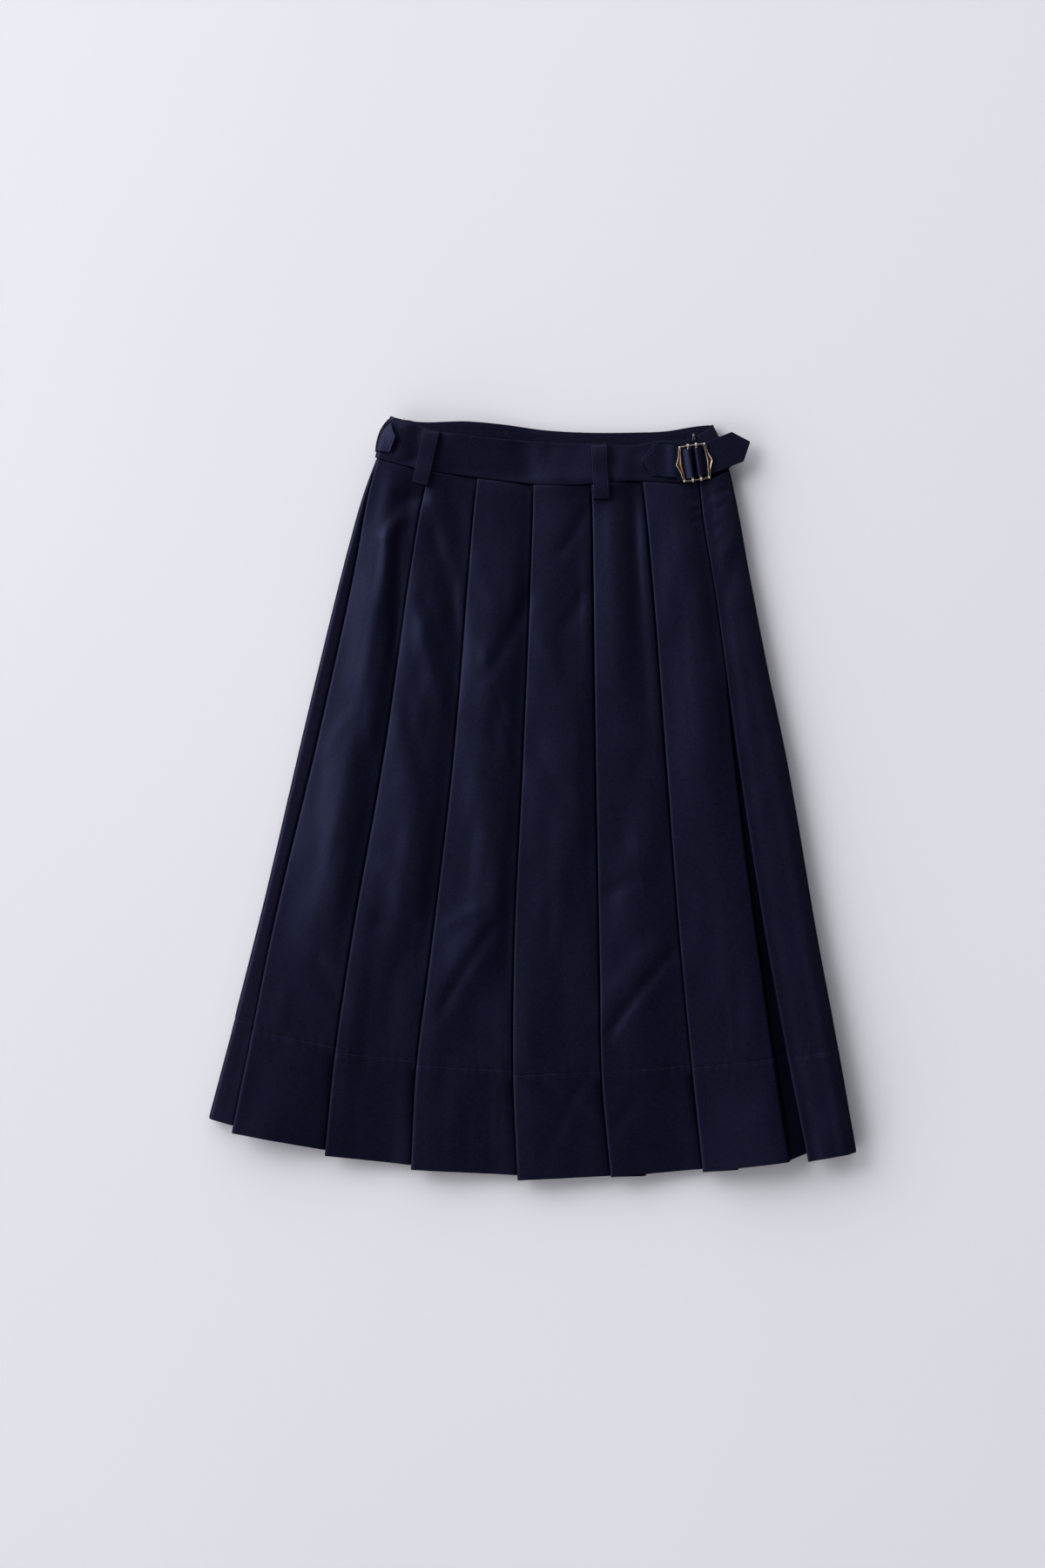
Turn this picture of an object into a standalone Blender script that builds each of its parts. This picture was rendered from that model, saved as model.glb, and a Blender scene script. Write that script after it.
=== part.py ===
"""A pleated midi skirt, laid flat on its back.

Fourteen gores are folded into knife pleats that run the same way round the body. A waistband,
belt loops, a buckled adjuster at each side and a zip in the right-hand front pleat finish it.

The script thinks in millimetres: +X is to the right of the front, +Y runs up to the waist and
+Z rises from the surface that the skirt lies on.
"""

import math
from functools import lru_cache

import bmesh
import bpy
import numpy as np
from mathutils import Matrix, Vector

MM = 0.001

# ---- driving sizes, in millimetres ----
CLOTH = 1.0            # wall of one layer
HEM_CLOTH = 1.6        # wall where the hem is turned up
LAYER_GAP = 0.5        # air between two layers of a pleat
SEAM_GAP = 0.5         # between two pieces at a seam, before their facets
BAND_WALL = 2.0        # the waistband is folded double
FACING_WALL = 1.0
STRAP_WALL = 1.4       # adjuster tabs and straps
LOOP_WALL = 1.6        # belt loops
LOOP_WIDTH = 16.5
LOOP_ROOM = 5.0        # under a front belt loop, where the belt goes
TUCK_AT_WAIST = 16.0   # depth of a pleat
TUCK_AT_HEM = 36.0
CREST = 2.5            # how far a front panel swells above its folds
FRONT_REACH = 90.0     # over which the front climbs from its side to its crown
KNOLL_END = 10.0       # the back is held up left of this x, over the left adjuster
KNOLL_SLOPE = 86.0
KNOLL_SHARE = 0.6      # of it that shows on the front
ZIP_END = 0.29         # share of the gore's length
HEM_START = 0.85
ZIP_SLOT = 5.4         # between the ends of the waistband

# rows of a gore, as shares of its length from the waist seam to the hem
GORE_ROWS = (0.0, 0.05, 0.15, 0.29, 0.5, 0.7, 0.845, 0.855, 1.0)
BAND_ROWS = (-1.0, -0.6, -0.25, 0.0)

# Cross-sections: the share is -1 at the top of the waistband, 0 at its seam and 1 at the hem.
# lift is how far the back is held up, and knoll what the left buckle adds to it.
SECTION_COLUMNS = ("share", "left", "right", "crown", "side", "lift", "knoll")
SECTIONS = (
    (-1.00, -146.0, 189.0, 14.2, 8.0, 2.3, 5.9),
    (-0.60, -156.0, 198.0, 14.2, 9.0, 2.3, 5.9),
    (-0.25, -159.8, 203.5, 14.2, 9.0, 2.3, 5.9),
    (0.00, -162.0, 206.0, 14.6, 9.6, 2.3, 5.9),
    (0.05, -174.5, 213.5, 15.3, 10.4, 2.3, 5.0),
    (0.15, -194.0, 226.5, 16.8, 11.5, 0.0, 3.0),
    (0.29, -218.0, 245.5, 18.0, 12.0, 0.0, 0.0),
    (0.40, -236.0, 262.0, 19.0, 12.0, 0.0, 0.0),
    (0.70, -284.0, 299.0, 21.5, 12.5, 0.0, 0.0),
    (0.85, -310.0, 318.5, 23.0, 13.0, 0.0, 0.0),
    (1.00, -337.0, 337.0, 24.0, 13.0, 0.0, 0.0),
)

# Folded edges of the front pleats, left to right. corner is the y of the edge's end at the hem,
# tuck that of the neighbour which goes under it.
FOLD_SHARES = (0.0, 0.05, 0.15, 0.4, 0.7, 0.85, 1.0)
FRONT_FOLDS = (
    # x at each share                                       corner   tuck
    ((-158.5, -167.5, -180.5, -218.0, -267.0, -287.5, -308.5), -347.0, -340.7),
    ((-105.5, -113.0, -125.0, -150.0, -186.5, -202.0, -213.0), -371.0, -366.0),
    ((-55.0, -59.0, -65.0, -79.5, -104.5, -118.0, -124.0), -385.5, -381.5),
    ((3.0, 2.0, -0.5, -8.0, -17.5, -18.0, -13.5), -396.5, -392.0),
    ((63.0, 64.0, 65.0, 67.5, 71.5, 73.5, 83.0), -393.0, -392.5),
    ((116.0, 120.0, 126.5, 140.0, 156.5, 167.0, 178.5), -388.0, -385.5),
    ((175.0, 178.5, 190.0, 214.0, 247.0, 266.5, 287.5), -376.5, -369.5),
)
BACK_FOLDS = (
    # x at the waist, x at the hem, corner, tuck; right to left
    (193.5, 297.0, -370.0, -366.0),
    (143.0, 209.0, -381.0, -376.0),
    (92.5, 120.6, -392.0, -386.0),
    (42.0, 27.0, -392.5, -393.5),
    (-8.5, -67.5, -386.0, -387.0),
    (-59.0, -164.0, -372.0, -370.0),
    (-110.0, -259.0, -352.0, -349.0),
)
RIGHT_SIDE_HEM = -366.0
LEFT_SIDE_HEM = -331.7

# The pleat below the zip gapes: how wide the gap is, and how deep its floor lies
GAPE = (
    # share, width, depth
    (0.0, 0.0, 0.0),
    (0.30, 0.0, 0.0),
    (0.50, 5.0, 3.5),
    (0.70, 9.0, 7.5),
    (0.85, 14.0, 8.0),
    (1.0, 19.0, 8.0),
)
GAPE_HEM = -376.2      # the end of the panel at the gap

# Edges of the waistband: (x, y) along each
FRONT_SEAM = ((-162, 352), (-123, 341.7), (-60, 332), (3.6, 325), (45, 323.8), (84, 326.8),
              (117, 328), (160, 326), (176, 327.4), (206, 340.7))
BACK_SEAM = ((-162, 352), (-110, 348), (-62, 347), (12.6, 338.6), (57, 336), (139, 337),
             (206, 341))
FRONT_TOP = ((-146, 395), (-124, 387.5), (-93.6, 378.5), (-62, 374), (5, 368.6), (79, 366.2),
             (109, 365.2), (131, 369.5), (164, 371.9), (169, 374), (176, 377.6), (189, 387))
BACK_TOP = ((-146, 395), (-129.6, 391), (-62, 389.8), (-25, 386.6), (12.6, 381.6), (57, 379),
            (102, 379), (139, 380.3), (176, 386), (189, 387))
ZIP_TOP_X = 168.0
ZIP_SEAM_X = 175.0

# Belt loops run from the band's top edge to a little below its seam
FRONT_LOOPS = (
    # name, x at the top, x at the lower end, how far below the seam
    ("belt_loop_front_left", -102.0, -115.0, 17.0),
    ("belt_loop_front_right", 70.0, 73.0, 18.0),
)
BACK_LOOPS = (
    ("belt_loop_back_left", -26.0, -27.0, 17.0),
    ("belt_loop_back_right", 96.0, 98.0, 17.0),
)
LOOP_SEAT = 0.5        # of a front loop's ends above the cloth
BACK_LOOP_GAP = 0.4    # a back loop lies flat under the band
GORE_LENGTH = 720.0    # about, from the seam to the hem

# Side adjusters, in a frame of their own: u runs from the tab to the strap's tail, v across and
# h outwards from the band. Each has a tab, a buckle and a strap.
RIGHT_BUCKLE = (168.8, 346.1)
RIGHT_BUCKLE_TURN = 8.5        # degrees
RIGHT_BUCKLE_BASE = 13.5       # height of the band under it
RIGHT_TAB = (
    # x, y, layer off the band, degrees: on the front, from its point to the buckle
    (126.0, 349.2, 1, -2.0),
    (138.0, 348.6, 1, -1.0),
    (147.5, 347.6, 2, 3.0),
)
TAIL_TURN = 22.0               # degrees: the strap leaves the buckle at a slant
TAIL_RUN = ((44.0, 1.0), (34.0, 2.2), (24.0, 2.7), (16.0, 2.75))  # way from the bar, height
STRAP_RUN = ((8.5, 0.9), (18.0, 0.8))
SIDE_Y = 357.5                 # where the strap turns round the side
SIDE_FOLD = (-10.0, 44.0)      # the way the side's folded edge runs
SIDE_CLIMB = 0.4               # of the strap up the band in each station of the turn
BACK_RUN = ((190.0, 361.0), (165.0, 361.5), (140.0, 361.0))  # x, y of its end under the back
RIGHT_SHARE = -0.36            # of the cross-section that the strap turns round
LEFT_BUCKLE = (-137.5, 374.0)
LEFT_BUCKLE_TURN = -3.0
LEFT_SHARE = -0.55
LEFT_TAB_Y = 373.5
LEFT_FOLD = (13.0, 33.0)
LEFT_TAB_END = (4.5, -1.5)     # of the tab's point from the middle of the side
LEFT_TAB_EASE = 0.6            # the tab stands off the side
BAR_SPREAD = 4.3       # of each bar from the buckle's centre
BAR_HEIGHT = 5.1
BAR_RADIUS = 1.1
RAIL = 18.0            # from the centre to the middle of a rail
BAR_END = 16.2         # a bar's ends sink into its rings
RING_RADIUS = 2.0
RING_WIRE = 0.5
FRAME_WALL = 1.6
FRAME_OUTER = ((13.5, 18.9), (14.6, 15.0), (15.6, 9.0), (17.2, 4.5), (19.5, 0.0))
FRAME_INNER = ((11.8, 17.1), (12.2, 13.0), (12.6, 8.0), (13.0, 4.0), (13.2, 0.0))
STRAP_WIDTH = 33.0
ROLL_WIDTH = 29.8      # where a strap passes between the rings
STRAP_GAP = 0.3
STRAP_EASE = 0.5       # a tab stands a little off the band's curve
ROLL_RADIUS = BAR_RADIUS + 1.5 * STRAP_GAP + STRAP_WALL / 2
TAIL_POINT = 14.5
RIGHT_TAB_POINT = 12.0
LEFT_TAB_POINT = 9.0

# The zip: a tape, the slider and its pull, which hangs in the slider's bail
TAPE_HALF = 9.0
TAPE_DEPTH = 4.3
TAPE_WALL = 1.0
SLIDER = (3.0, 9.0, 3.9)       # width, length and height
SLIDER_Y = 372.6               # it stands above the band, clear of the buckle
SLIDER_RISE = 0.3              # of its top above the band
BAIL_WIDTH = 1.0
PIN_PLACE = (1.8, 0.95)        # of the pull's pin from the slider's middle and top
BAIL_OUTER = ((2.0, -1.2), (2.0, 1.2), (1.5, 1.6), (-1.5, 1.6), (-2.0, 1.2), (-2.0, -1.2))
BAIL_INNER = ((1.35, -0.9), (1.35, 0.8), (1.2, 0.95), (-1.2, 0.95), (-1.35, 0.8), (-1.35, -0.9))
PULL_WALL = 0.8
PULL_OUTLINE = ((1.5, 0.4), (1.5, -2.9), (1.9, -3.7), (1.9, -5.4), (1.2, -6.0))  # right half
PULL_HOLE = ((0.8, -0.4), (0.8, -1.0), (0.8, -1.7), (0.8, -2.35), (0.5, -2.65))

# ---- colours: base colour, roughness, metallic ----
NAVY = ((0.0085, 0.0100, 0.0260), 0.85, 0.0)
NAVY_DARK = ((0.0060, 0.0070, 0.0190), 0.85, 0.0)
ANTIQUE_SILVER = ((0.42, 0.36, 0.29), 0.35, 1.0)
ZIP_METAL = ((0.50, 0.50, 0.52), 0.3, 1.0)


# ---- curves through the tables ----

def smooth(t):
    t = np.clip(t, 0.0, 1.0)
    return t * t * (3 - 2 * t)


def along(xs, ys, x):
    """A smooth curve through (xs, ys), with each slope taken from its neighbours."""
    xs, ys = np.asarray(xs, float), np.asarray(ys, float)
    slopes = np.gradient(ys, xs)
    x = min(max(x, xs[0]), xs[-1])
    i = min(int(np.searchsorted(xs, x, side="right")) - 1, len(xs) - 2)
    h = xs[i + 1] - xs[i]
    t = (x - xs[i]) / h
    return float(
        (1 + 2 * t) * (1 - t) ** 2 * ys[i]
        + t * (1 - t) ** 2 * h * slopes[i]
        + t * t * (3 - 2 * t) * ys[i + 1]
        + t * t * (t - 1) * h * slopes[i + 1]
    )


def section(column, share):
    at = SECTION_COLUMNS.index(column)
    shares = [row[0] for row in SECTIONS]
    values = [row[at] for row in SECTIONS]
    if column in ("left", "right"):
        return along(shares, values, share)
    return float(np.interp(share, shares, values))


def edge_y(edge, x):
    return along([p[0] for p in edge], [p[1] for p in edge], x)


def wall(share):
    return CLOTH if share < HEM_START else HEM_CLOTH


def tuck(share):
    return TUCK_AT_WAIST + (TUCK_AT_HEM - TUCK_AT_WAIST) * share


# ---- the body's cross-section ----

class Ring:
    """The flattened tube at one share: its outer line, walked from the left side over the front."""

    STEP = 1.0

    def __init__(self, share):
        left, right = section("left", share), section("right", share)
        lift, knoll = section("lift", share), section("knoll", share)
        side, crown = section("side", share), section("crown", share)
        r = side / 2

        def under(x):
            return lift + knoll * smooth((KNOLL_END - x) / KNOLL_SLOPE)

        xs = np.arange(left + r, right - r, self.STEP)
        near_left, near_right = xs - left - r, right - r - xs
        rise = np.minimum(np.minimum(near_left, near_right) / FRONT_REACH, 1)
        foot = np.where(near_left < near_right, under(left + r), under(right - r)) + side
        peak = crown + KNOLL_SHARE * (under(xs) - lift)
        top = foot + (peak - foot) * (1 - (1 - rise) ** 2)
        left_mid = np.array([left + r, under(left + r) + r])
        right_mid = np.array([right - r, under(right - r) + r])
        quarter = np.linspace(0, math.pi / 2, 9)[:-1]
        points = [left_mid + r * np.array([-math.cos(a), math.sin(a)]) for a in quarter]
        points += list(zip(xs, top))
        half = np.linspace(math.pi / 2, -math.pi / 2, 17)
        points += [right_mid + r * np.array([math.cos(a), math.sin(a)]) for a in half]
        back = xs[::-1]
        points += list(zip(back, under(back)))
        points += [left_mid + r * np.array([-math.cos(a), -math.sin(a)]) for a in quarter[::-1]]
        turn = [0.5 + 0.5 * math.sin(a) for a in quarter] + [1.0] * len(xs)
        turn += [0.5 + 0.5 * math.sin(a) for a in half] + [0.0] * len(xs)
        turn += [0.5 - 0.5 * math.sin(a) for a in quarter[::-1]]
        points = np.array(points, float)
        closed = np.vstack([points, points[:1]])
        lengths = np.concatenate([[0], np.cumsum(np.linalg.norm(np.diff(closed, axis=0), axis=1))])
        count = int(lengths[-1] / self.STEP)
        self.s = np.linspace(0, lengths[-1], count, endpoint=False)
        line = np.stack([np.interp(self.s, lengths, closed[:, i]) for i in (0, 1)], axis=1)
        for _ in range(2):
            line = (np.roll(line, 1, 0) + line + np.roll(line, -1, 0)) / 3
        tangent = np.roll(line, -1, 0) - np.roll(line, 1, 0)
        tangent /= np.linalg.norm(tangent, axis=1)[:, None]
        self.line = line
        self.out = np.stack([-tangent[:, 1], tangent[:, 0]], axis=1)
        self.length = lengths[-1]
        self.front = np.interp(self.s, lengths[:-1], turn)
        self.left, self.right, self.r = left, right, r
        self.side_arc = math.pi * r
        self.right_start = self.at_front(right - r)
        self.left_start = self.length - math.pi / 2 * r

    def at_front(self, x):
        """How far round the front's point at x is."""
        top = int(np.argmax(self.line[:, 0]))
        return float(np.interp(x, self.line[:top, 0], self.s[:top]))

    def at_back(self, x):
        top = int(np.argmax(self.line[:, 0]))
        return float(np.interp(-x, -self.line[top:, 0], self.s[top:]))

    def read(self, values, s):
        return float(np.interp(s % self.length, self.s, values, period=self.length))

    def point(self, s, depth):
        x = self.read(self.line[:, 0], s) - self.read(self.out[:, 0], s) * depth
        z = self.read(self.line[:, 1], s) - self.read(self.out[:, 1], s) * depth
        return x, z

    def seam_y(self, s):
        x, f = self.read(self.line[:, 0], s), self.read(self.front, s)
        return f * edge_y(FRONT_SEAM, x) + (1 - f) * edge_y(BACK_SEAM, x)

    def top_y(self, s):
        x, f = self.read(self.line[:, 0], s), self.read(self.front, s)
        return f * edge_y(FRONT_TOP, x) + (1 - f) * edge_y(BACK_TOP, x)

    def height(self, x):
        """The front's outer height at x."""
        return self.point(self.at_front(x), 0)[1]


@lru_cache(maxsize=None)
def ring(share):
    return Ring(share)


def fold_place(k, share):
    """How far round fold k lies; 0 to 6 are on the front, 7 to 13 on the back."""
    if k < len(FRONT_FOLDS):
        return ring(share).at_front(along(FOLD_SHARES, FRONT_FOLDS[k][0], share))
    waist_x, hem_x = BACK_FOLDS[k - len(FRONT_FOLDS)][:2]
    return ring(share).at_back(waist_x + (hem_x - waist_x) * share)


FOLD_COUNT = len(FRONT_FOLDS) + len(BACK_FOLDS)
LEFT_SINK = (0.0, 0.0, 0.05, 0.15, 0.35, 0.6)  # of the panel that turns round the left side
ZIP_FOLD = 6


def fold_hem(k):
    """The y of fold k's corner at the hem, and of the neighbour tucked under it."""
    if k < len(FRONT_FOLDS):
        return FRONT_FOLDS[k][1:]
    return BACK_FOLDS[k - len(FRONT_FOLDS)][2:]


# ---- gores ----

def gape(column, share):
    return float(np.interp(share, [row[0] for row in GAPE], [row[column] for row in GAPE]))


def panel_stations(k, share, start, end, pitch):
    """(place, sink) of the open part of gore k, where sink 1 is two layers down."""
    here = ring(share)
    if k == ZIP_FOLD - 1:  # the panel that ends at the zip and, below it, at the gap
        width, depth = gape(1, share), gape(2, share)
        lip = end - width
        gap_sink = 1 + depth / (2 * pitch)
        return [
            (start + 0.35 * (lip - start), 0.05),
            (start + 0.7 * (lip - start), 0.12),
            (lip - 5.0, 0.2),
            (lip - 2.6, 0.3),
            (lip - 1.9 + 0.08 * width, 0.3 + 0.5 * gap_sink),
            (lip - 0.6 + 0.16 * width, gap_sink),
        ]
    if k == ZIP_FOLD:  # round the right side
        first = here.right_start
        stations = [(start + 0.5 * max(first - start, 2.0), 0.0)]
        stations += [(max(first, start + 2.0) + i / 5 * (here.side_arc), 0.0) for i in range(6)]
        return stations + [(end - 3.0, 0.1)]
    if k == FOLD_COUNT - 1:  # round the left side
        first = here.left_start - here.r * math.pi / 2
        arc = min(here.side_arc, end - first - 3.0)
        stations = [(start + 0.6 * (first - start), 0.0)]
        stations += [(first + i / 5 * arc, sink) for i, sink in enumerate(LEFT_SINK)]
        return stations + [(end - 1.8, 0.92)]
    if k < ZIP_FOLD:
        return [(start + f * (end - start), smooth(f)) for f in (0.25, 0.5, 0.78)]
    return [(start + 0.5 * (end - start), 0.0), (end - 8.0, 0.0), (end - 3.0, 0.25)]


def gore_line(k, share):
    """The middle line of gore k at one share, as (place, depth), from its hidden inner edge."""
    here = ring(share)
    first, last = fold_place(k, share), fold_place((k + 1) % FOLD_COUNT, share)
    if last < first:
        last += here.length
    t, d = wall(share), tuck(share)
    pitch = t + LAYER_GAP
    mid = t / 2
    sunk = mid + 2 * pitch
    if k == ZIP_FOLD - 1:
        sunk += gape(2, share)
    line = [(first + d, mid + pitch), (first + d / 2, mid + pitch), (first + pitch / 2, mid + pitch)]
    line += [(first, mid + pitch / 2)]
    line += [(first + pitch / 2, mid), (first + d / 2, mid), (first + d, mid)]
    for place, sink in panel_stations(k, share, first + d, last, pitch):
        line.append((place, mid + 2 * pitch * sink))
    floor = mid + 2 * pitch
    line += [(last, sunk), (last + d / 2, 0.5 * (sunk + floor)), (last + d, floor)]
    line = np.array(line)
    if k < ZIP_FOLD:  # the panel swells between its folds
        shown = slice(4, len(line) - 3)
        f = (line[shown, 0] - first) / (last - first)
        line[shown, 1] -= CREST * smooth(share / 0.15) * np.sin(math.pi * np.clip(f, 0, 1)) ** 1.2
    return line, first, last


def thicken(line, half):
    """Both faces of a wall about a middle line, by mitred offsets."""
    step = np.diff(line, axis=0)
    step /= np.linalg.norm(step, axis=1)[:, None]
    normal = np.stack([-step[:, 1], step[:, 0]], axis=1)
    mitre = np.vstack([normal[:1], normal[:-1] + normal[1:], normal[-1:]])
    mitre /= np.linalg.norm(mitre, axis=1)[:, None]
    cosine = np.concatenate([[1], np.sum(mitre[1:-1] * normal[:-1], axis=1), [1]])
    offset = mitre * (half / np.maximum(cosine, 0.5))[:, None]
    return line + offset, line - offset


def gore_hem(k, place, first, last, hidden):
    """The y of gore k's hem at a place."""
    corner, before = fold_hem(k)
    tucked = fold_hem((k + 1) % FOLD_COUNT)[1]
    d = tuck(1.0)
    if hidden:
        return corner + (before - corner) * min((place - first) / d, 1)
    stops = [(first, corner), (last, tucked)]
    if k == ZIP_FOLD - 1:
        stops.insert(1, (last - gape(1, 1.0), GAPE_HEM))
    if k == ZIP_FOLD:
        stops.insert(1, (ring(1.0).right_start + ring(1.0).side_arc / 2, RIGHT_SIDE_HEM))
    if k == FOLD_COUNT - 1:
        stops.insert(1, (ring(1.0).length, LEFT_SIDE_HEM))
    return float(np.interp(place, [s[0] for s in stops], [s[1] for s in stops]))


def gore_faces(k):
    """The two faces of gore k: rows of points, outer and inner."""
    waist, _, _ = gore_line(k, 0.0)
    hem, first, last = gore_line(k, 1.0)
    top_y = [ring(0.0).seam_y(place) - SEAM_GAP / 2 for place, _ in waist]
    hem_y = [gore_hem(k, place, first, last, i < 3) for i, (place, _) in enumerate(hem)]
    outer, inner = [], []
    for share in GORE_ROWS:
        here = ring(share)
        line, _, _ = gore_line(k, share)
        for face, points in zip((outer, inner), thicken(line, wall(share) / 2)):
            row = []
            for i, (place, depth) in enumerate(points):
                x, z = here.point(place, depth)
                row.append((x, top_y[i] + (hem_y[i] - top_y[i]) * share, z))
            face.append(row)
    return outer, inner


# ---- meshes ----

def material(name, look):
    """One Principled material: base colour, roughness and metallic."""
    colour, roughness, metallic = look
    made = bpy.data.materials.new(name)
    made.use_nodes = True
    shader = made.node_tree.nodes["Principled BSDF"]
    shader.inputs["Base Color"].default_value = (*colour, 1.0)
    shader.inputs["Roughness"].default_value = roughness
    shader.inputs["Metallic"].default_value = metallic
    made.diffuse_color = (*colour, 1.0)
    return made


def add_object(name, mesh, look):
    piece = bpy.data.objects.new(name, mesh)
    bpy.context.scene.collection.objects.link(piece)
    mesh.materials.append(material(name, look))
    return piece


def closed_mesh(name, points, faces):
    """A mesh in metres from points in millimetres, with its faces turned outwards."""
    mesh = bpy.data.meshes.new(name)
    mesh.from_pydata([Vector(p) * MM for p in points], [], faces)
    shape = bmesh.new()
    shape.from_mesh(mesh)
    bmesh.ops.recalc_face_normals(shape, faces=shape.faces)
    shape.to_mesh(mesh)
    shape.free()
    return mesh


def slab(name, outer, inner, look):
    """A closed wall between two grids of points of the same size."""
    rows, columns = len(outer), len(outer[0])
    points = [p for row in outer for p in row] + [p for row in inner for p in row]
    back = rows * columns
    faces = []
    for r in range(rows - 1):
        for c in range(columns - 1):
            a, b = r * columns + c, (r + 1) * columns + c
            faces.append((a, b, b + 1, a + 1))
            faces.append((back + a, back + a + 1, back + b + 1, back + b))
    rim = [(0, c) for c in range(columns)]
    rim += [(r, columns - 1) for r in range(1, rows)]
    rim += [(rows - 1, c) for c in range(columns - 2, -1, -1)]
    rim += [(r, 0) for r in range(rows - 2, 0, -1)]
    for (r0, c0), (r1, c1) in zip(rim, rim[1:] + rim[:1]):
        a, b = r0 * columns + c0, r1 * columns + c1
        faces.append((a, b, back + b, back + a))
    return add_object(name, closed_mesh(name, points, faces), look)


def plate(name, outline, hole, low, high, place, look):
    """A flat plate with one hole: both outlines have as many points. place maps (u, v, h)."""
    count = len(outline)
    points = [place(u, v, h) for h in (low, high) for ring_ in (outline, hole) for u, v in ring_]
    faces = []
    for i in range(count):
        j = (i + 1) % count
        o, q = (i, j), (count + i, count + j)
        up = 2 * count
        faces.append((o[0], o[1], q[1], q[0]))
        faces.append((up + o[0], up + q[0], up + q[1], up + o[1]))
        faces.append((o[0], up + o[0], up + o[1], o[1]))
        faces.append((q[0], q[1], up + q[1], up + q[0]))
    return add_object(name, closed_mesh(name, points, faces), look)


def block(corners_low, corners_high, name):
    """A box between two corners, as a mesh in metres."""
    (x0, y0, z0), (x1, y1, z1) = corners_low, corners_high
    points = [(x, y, z) for x in (x0, x1) for y in (y0, y1) for z in (z0, z1)]
    faces = [(0, 1, 3, 2), (4, 6, 7, 5), (0, 4, 5, 1), (2, 3, 7, 6), (0, 2, 6, 4), (1, 5, 7, 3)]
    return closed_mesh(name, points, faces)


def fuse(piece, meshes):
    """Union more meshes into a piece."""
    for i, mesh in enumerate(meshes):
        tool = bpy.data.objects.new(f"{piece.name}_tool_{i}", mesh)
        bpy.context.scene.collection.objects.link(tool)
        tool.hide_render = True
        tool.display_type = "WIRE"
        joint = piece.modifiers.new(f"union_{i}", "BOOLEAN")
        joint.operation = "UNION"
        joint.object = tool


def ribbon(name, stations, thickness, look, start_point=0.0, end_point=0.0):
    """A strip of cloth through stations of (centre, across), across being half its width.

    start_point and end_point push the middle of an end out to a point.
    """
    centre = np.array([s[0] for s in stations], float)
    across = np.array([s[1] for s in stations], float)
    step = np.diff(centre, axis=0)
    step /= np.linalg.norm(step, axis=1)[:, None]
    run = np.vstack([step[:1], step[:-1] + step[1:], step[-1:]])
    run /= np.linalg.norm(run, axis=1)[:, None]
    cosine = np.concatenate([[1], np.sum(run[1:-1] * step[:-1], axis=1), [1]])
    normal = np.cross(run, across)
    normal /= np.linalg.norm(normal, axis=1)[:, None]
    half = normal * (thickness / 2 / np.maximum(cosine, 0.5))[:, None]
    grids = []
    for sign in (1, -1):
        rows = []
        for i in range(len(centre)):
            push = {0: -start_point, len(centre) - 1: end_point}.get(i, 0.0)
            here = centre[i] + sign * half[i]
            rows.append([here - across[i], here + run[i] * push, here + across[i]])
        grids.append(rows)
    return slab(name, grids[0], grids[1], look)


# ---- the pieces ----

def make_gores():
    for k in range(FOLD_COUNT):
        side = "front" if k < len(FRONT_FOLDS) else "back"
        outer, inner = gore_faces(k)
        slab(f"gore_{side}_{k + 1}", outer, inner, NAVY if k % 2 else NAVY_DARK)


def zip_x(share):
    return ZIP_SEAM_X + (ZIP_TOP_X - ZIP_SEAM_X) * -share


def band_piece(name, span, depth, thickness, look, skirt_edge=SEAM_GAP / 2):
    """A length of the waistband. span gives its stations at a share."""
    outer, inner = [], []
    for share in BAND_ROWS:
        here = ring(share)
        for face, level in ((outer, depth), (inner, depth + thickness)):
            row = []
            for s in span(here, share):
                x, z = here.point(s, level)
                low, high = here.seam_y(s) + skirt_edge, here.top_y(s)
                row.append((x, low + (high - low) * -share, z))
            face.append(row)
    return slab(name, outer, inner, look)


def front_band_span(here, share):
    """From the left side to the zip."""
    end = here.at_front(zip_x(share) - ZIP_SLOT / 2)
    corner = math.pi / 2 * here.r
    return [SEAM_GAP / 2 + corner * f for f in (0, 0.33, 0.66)] + list(np.linspace(corner, end, 18))


def back_band_span(here, share):
    """From the zip round the right side, and along the back to the left side."""
    start = here.at_front(zip_x(share) + ZIP_SLOT / 2)
    turn = here.right_start
    stop = here.length - math.pi / 2 * here.r
    stations = [start, 0.5 * (start + turn)]
    stations += [turn + here.side_arc * i / 6 for i in range(7)]
    stations += list(np.linspace(turn + here.side_arc, stop, 16))[1:]
    return stations + [stop + (here.length - SEAM_GAP / 2 - stop) * f for f in (0.33, 0.66, 1.0)]


def facing_span(here, share):
    """The inside of the back, between the two sides."""
    start = here.right_start + here.side_arc
    return list(np.linspace(start, here.length - math.pi / 2 * here.r, 16))


def make_waistband():
    band_piece("waistband_front", front_band_span, 0.0, BAND_WALL, NAVY)
    band_piece("waistband_back", back_band_span, 0.0, BAND_WALL, NAVY)
    band_piece("waistband_facing", facing_span, BAND_WALL + 0.35, FACING_WALL, NAVY_DARK, 1.0)


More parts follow.
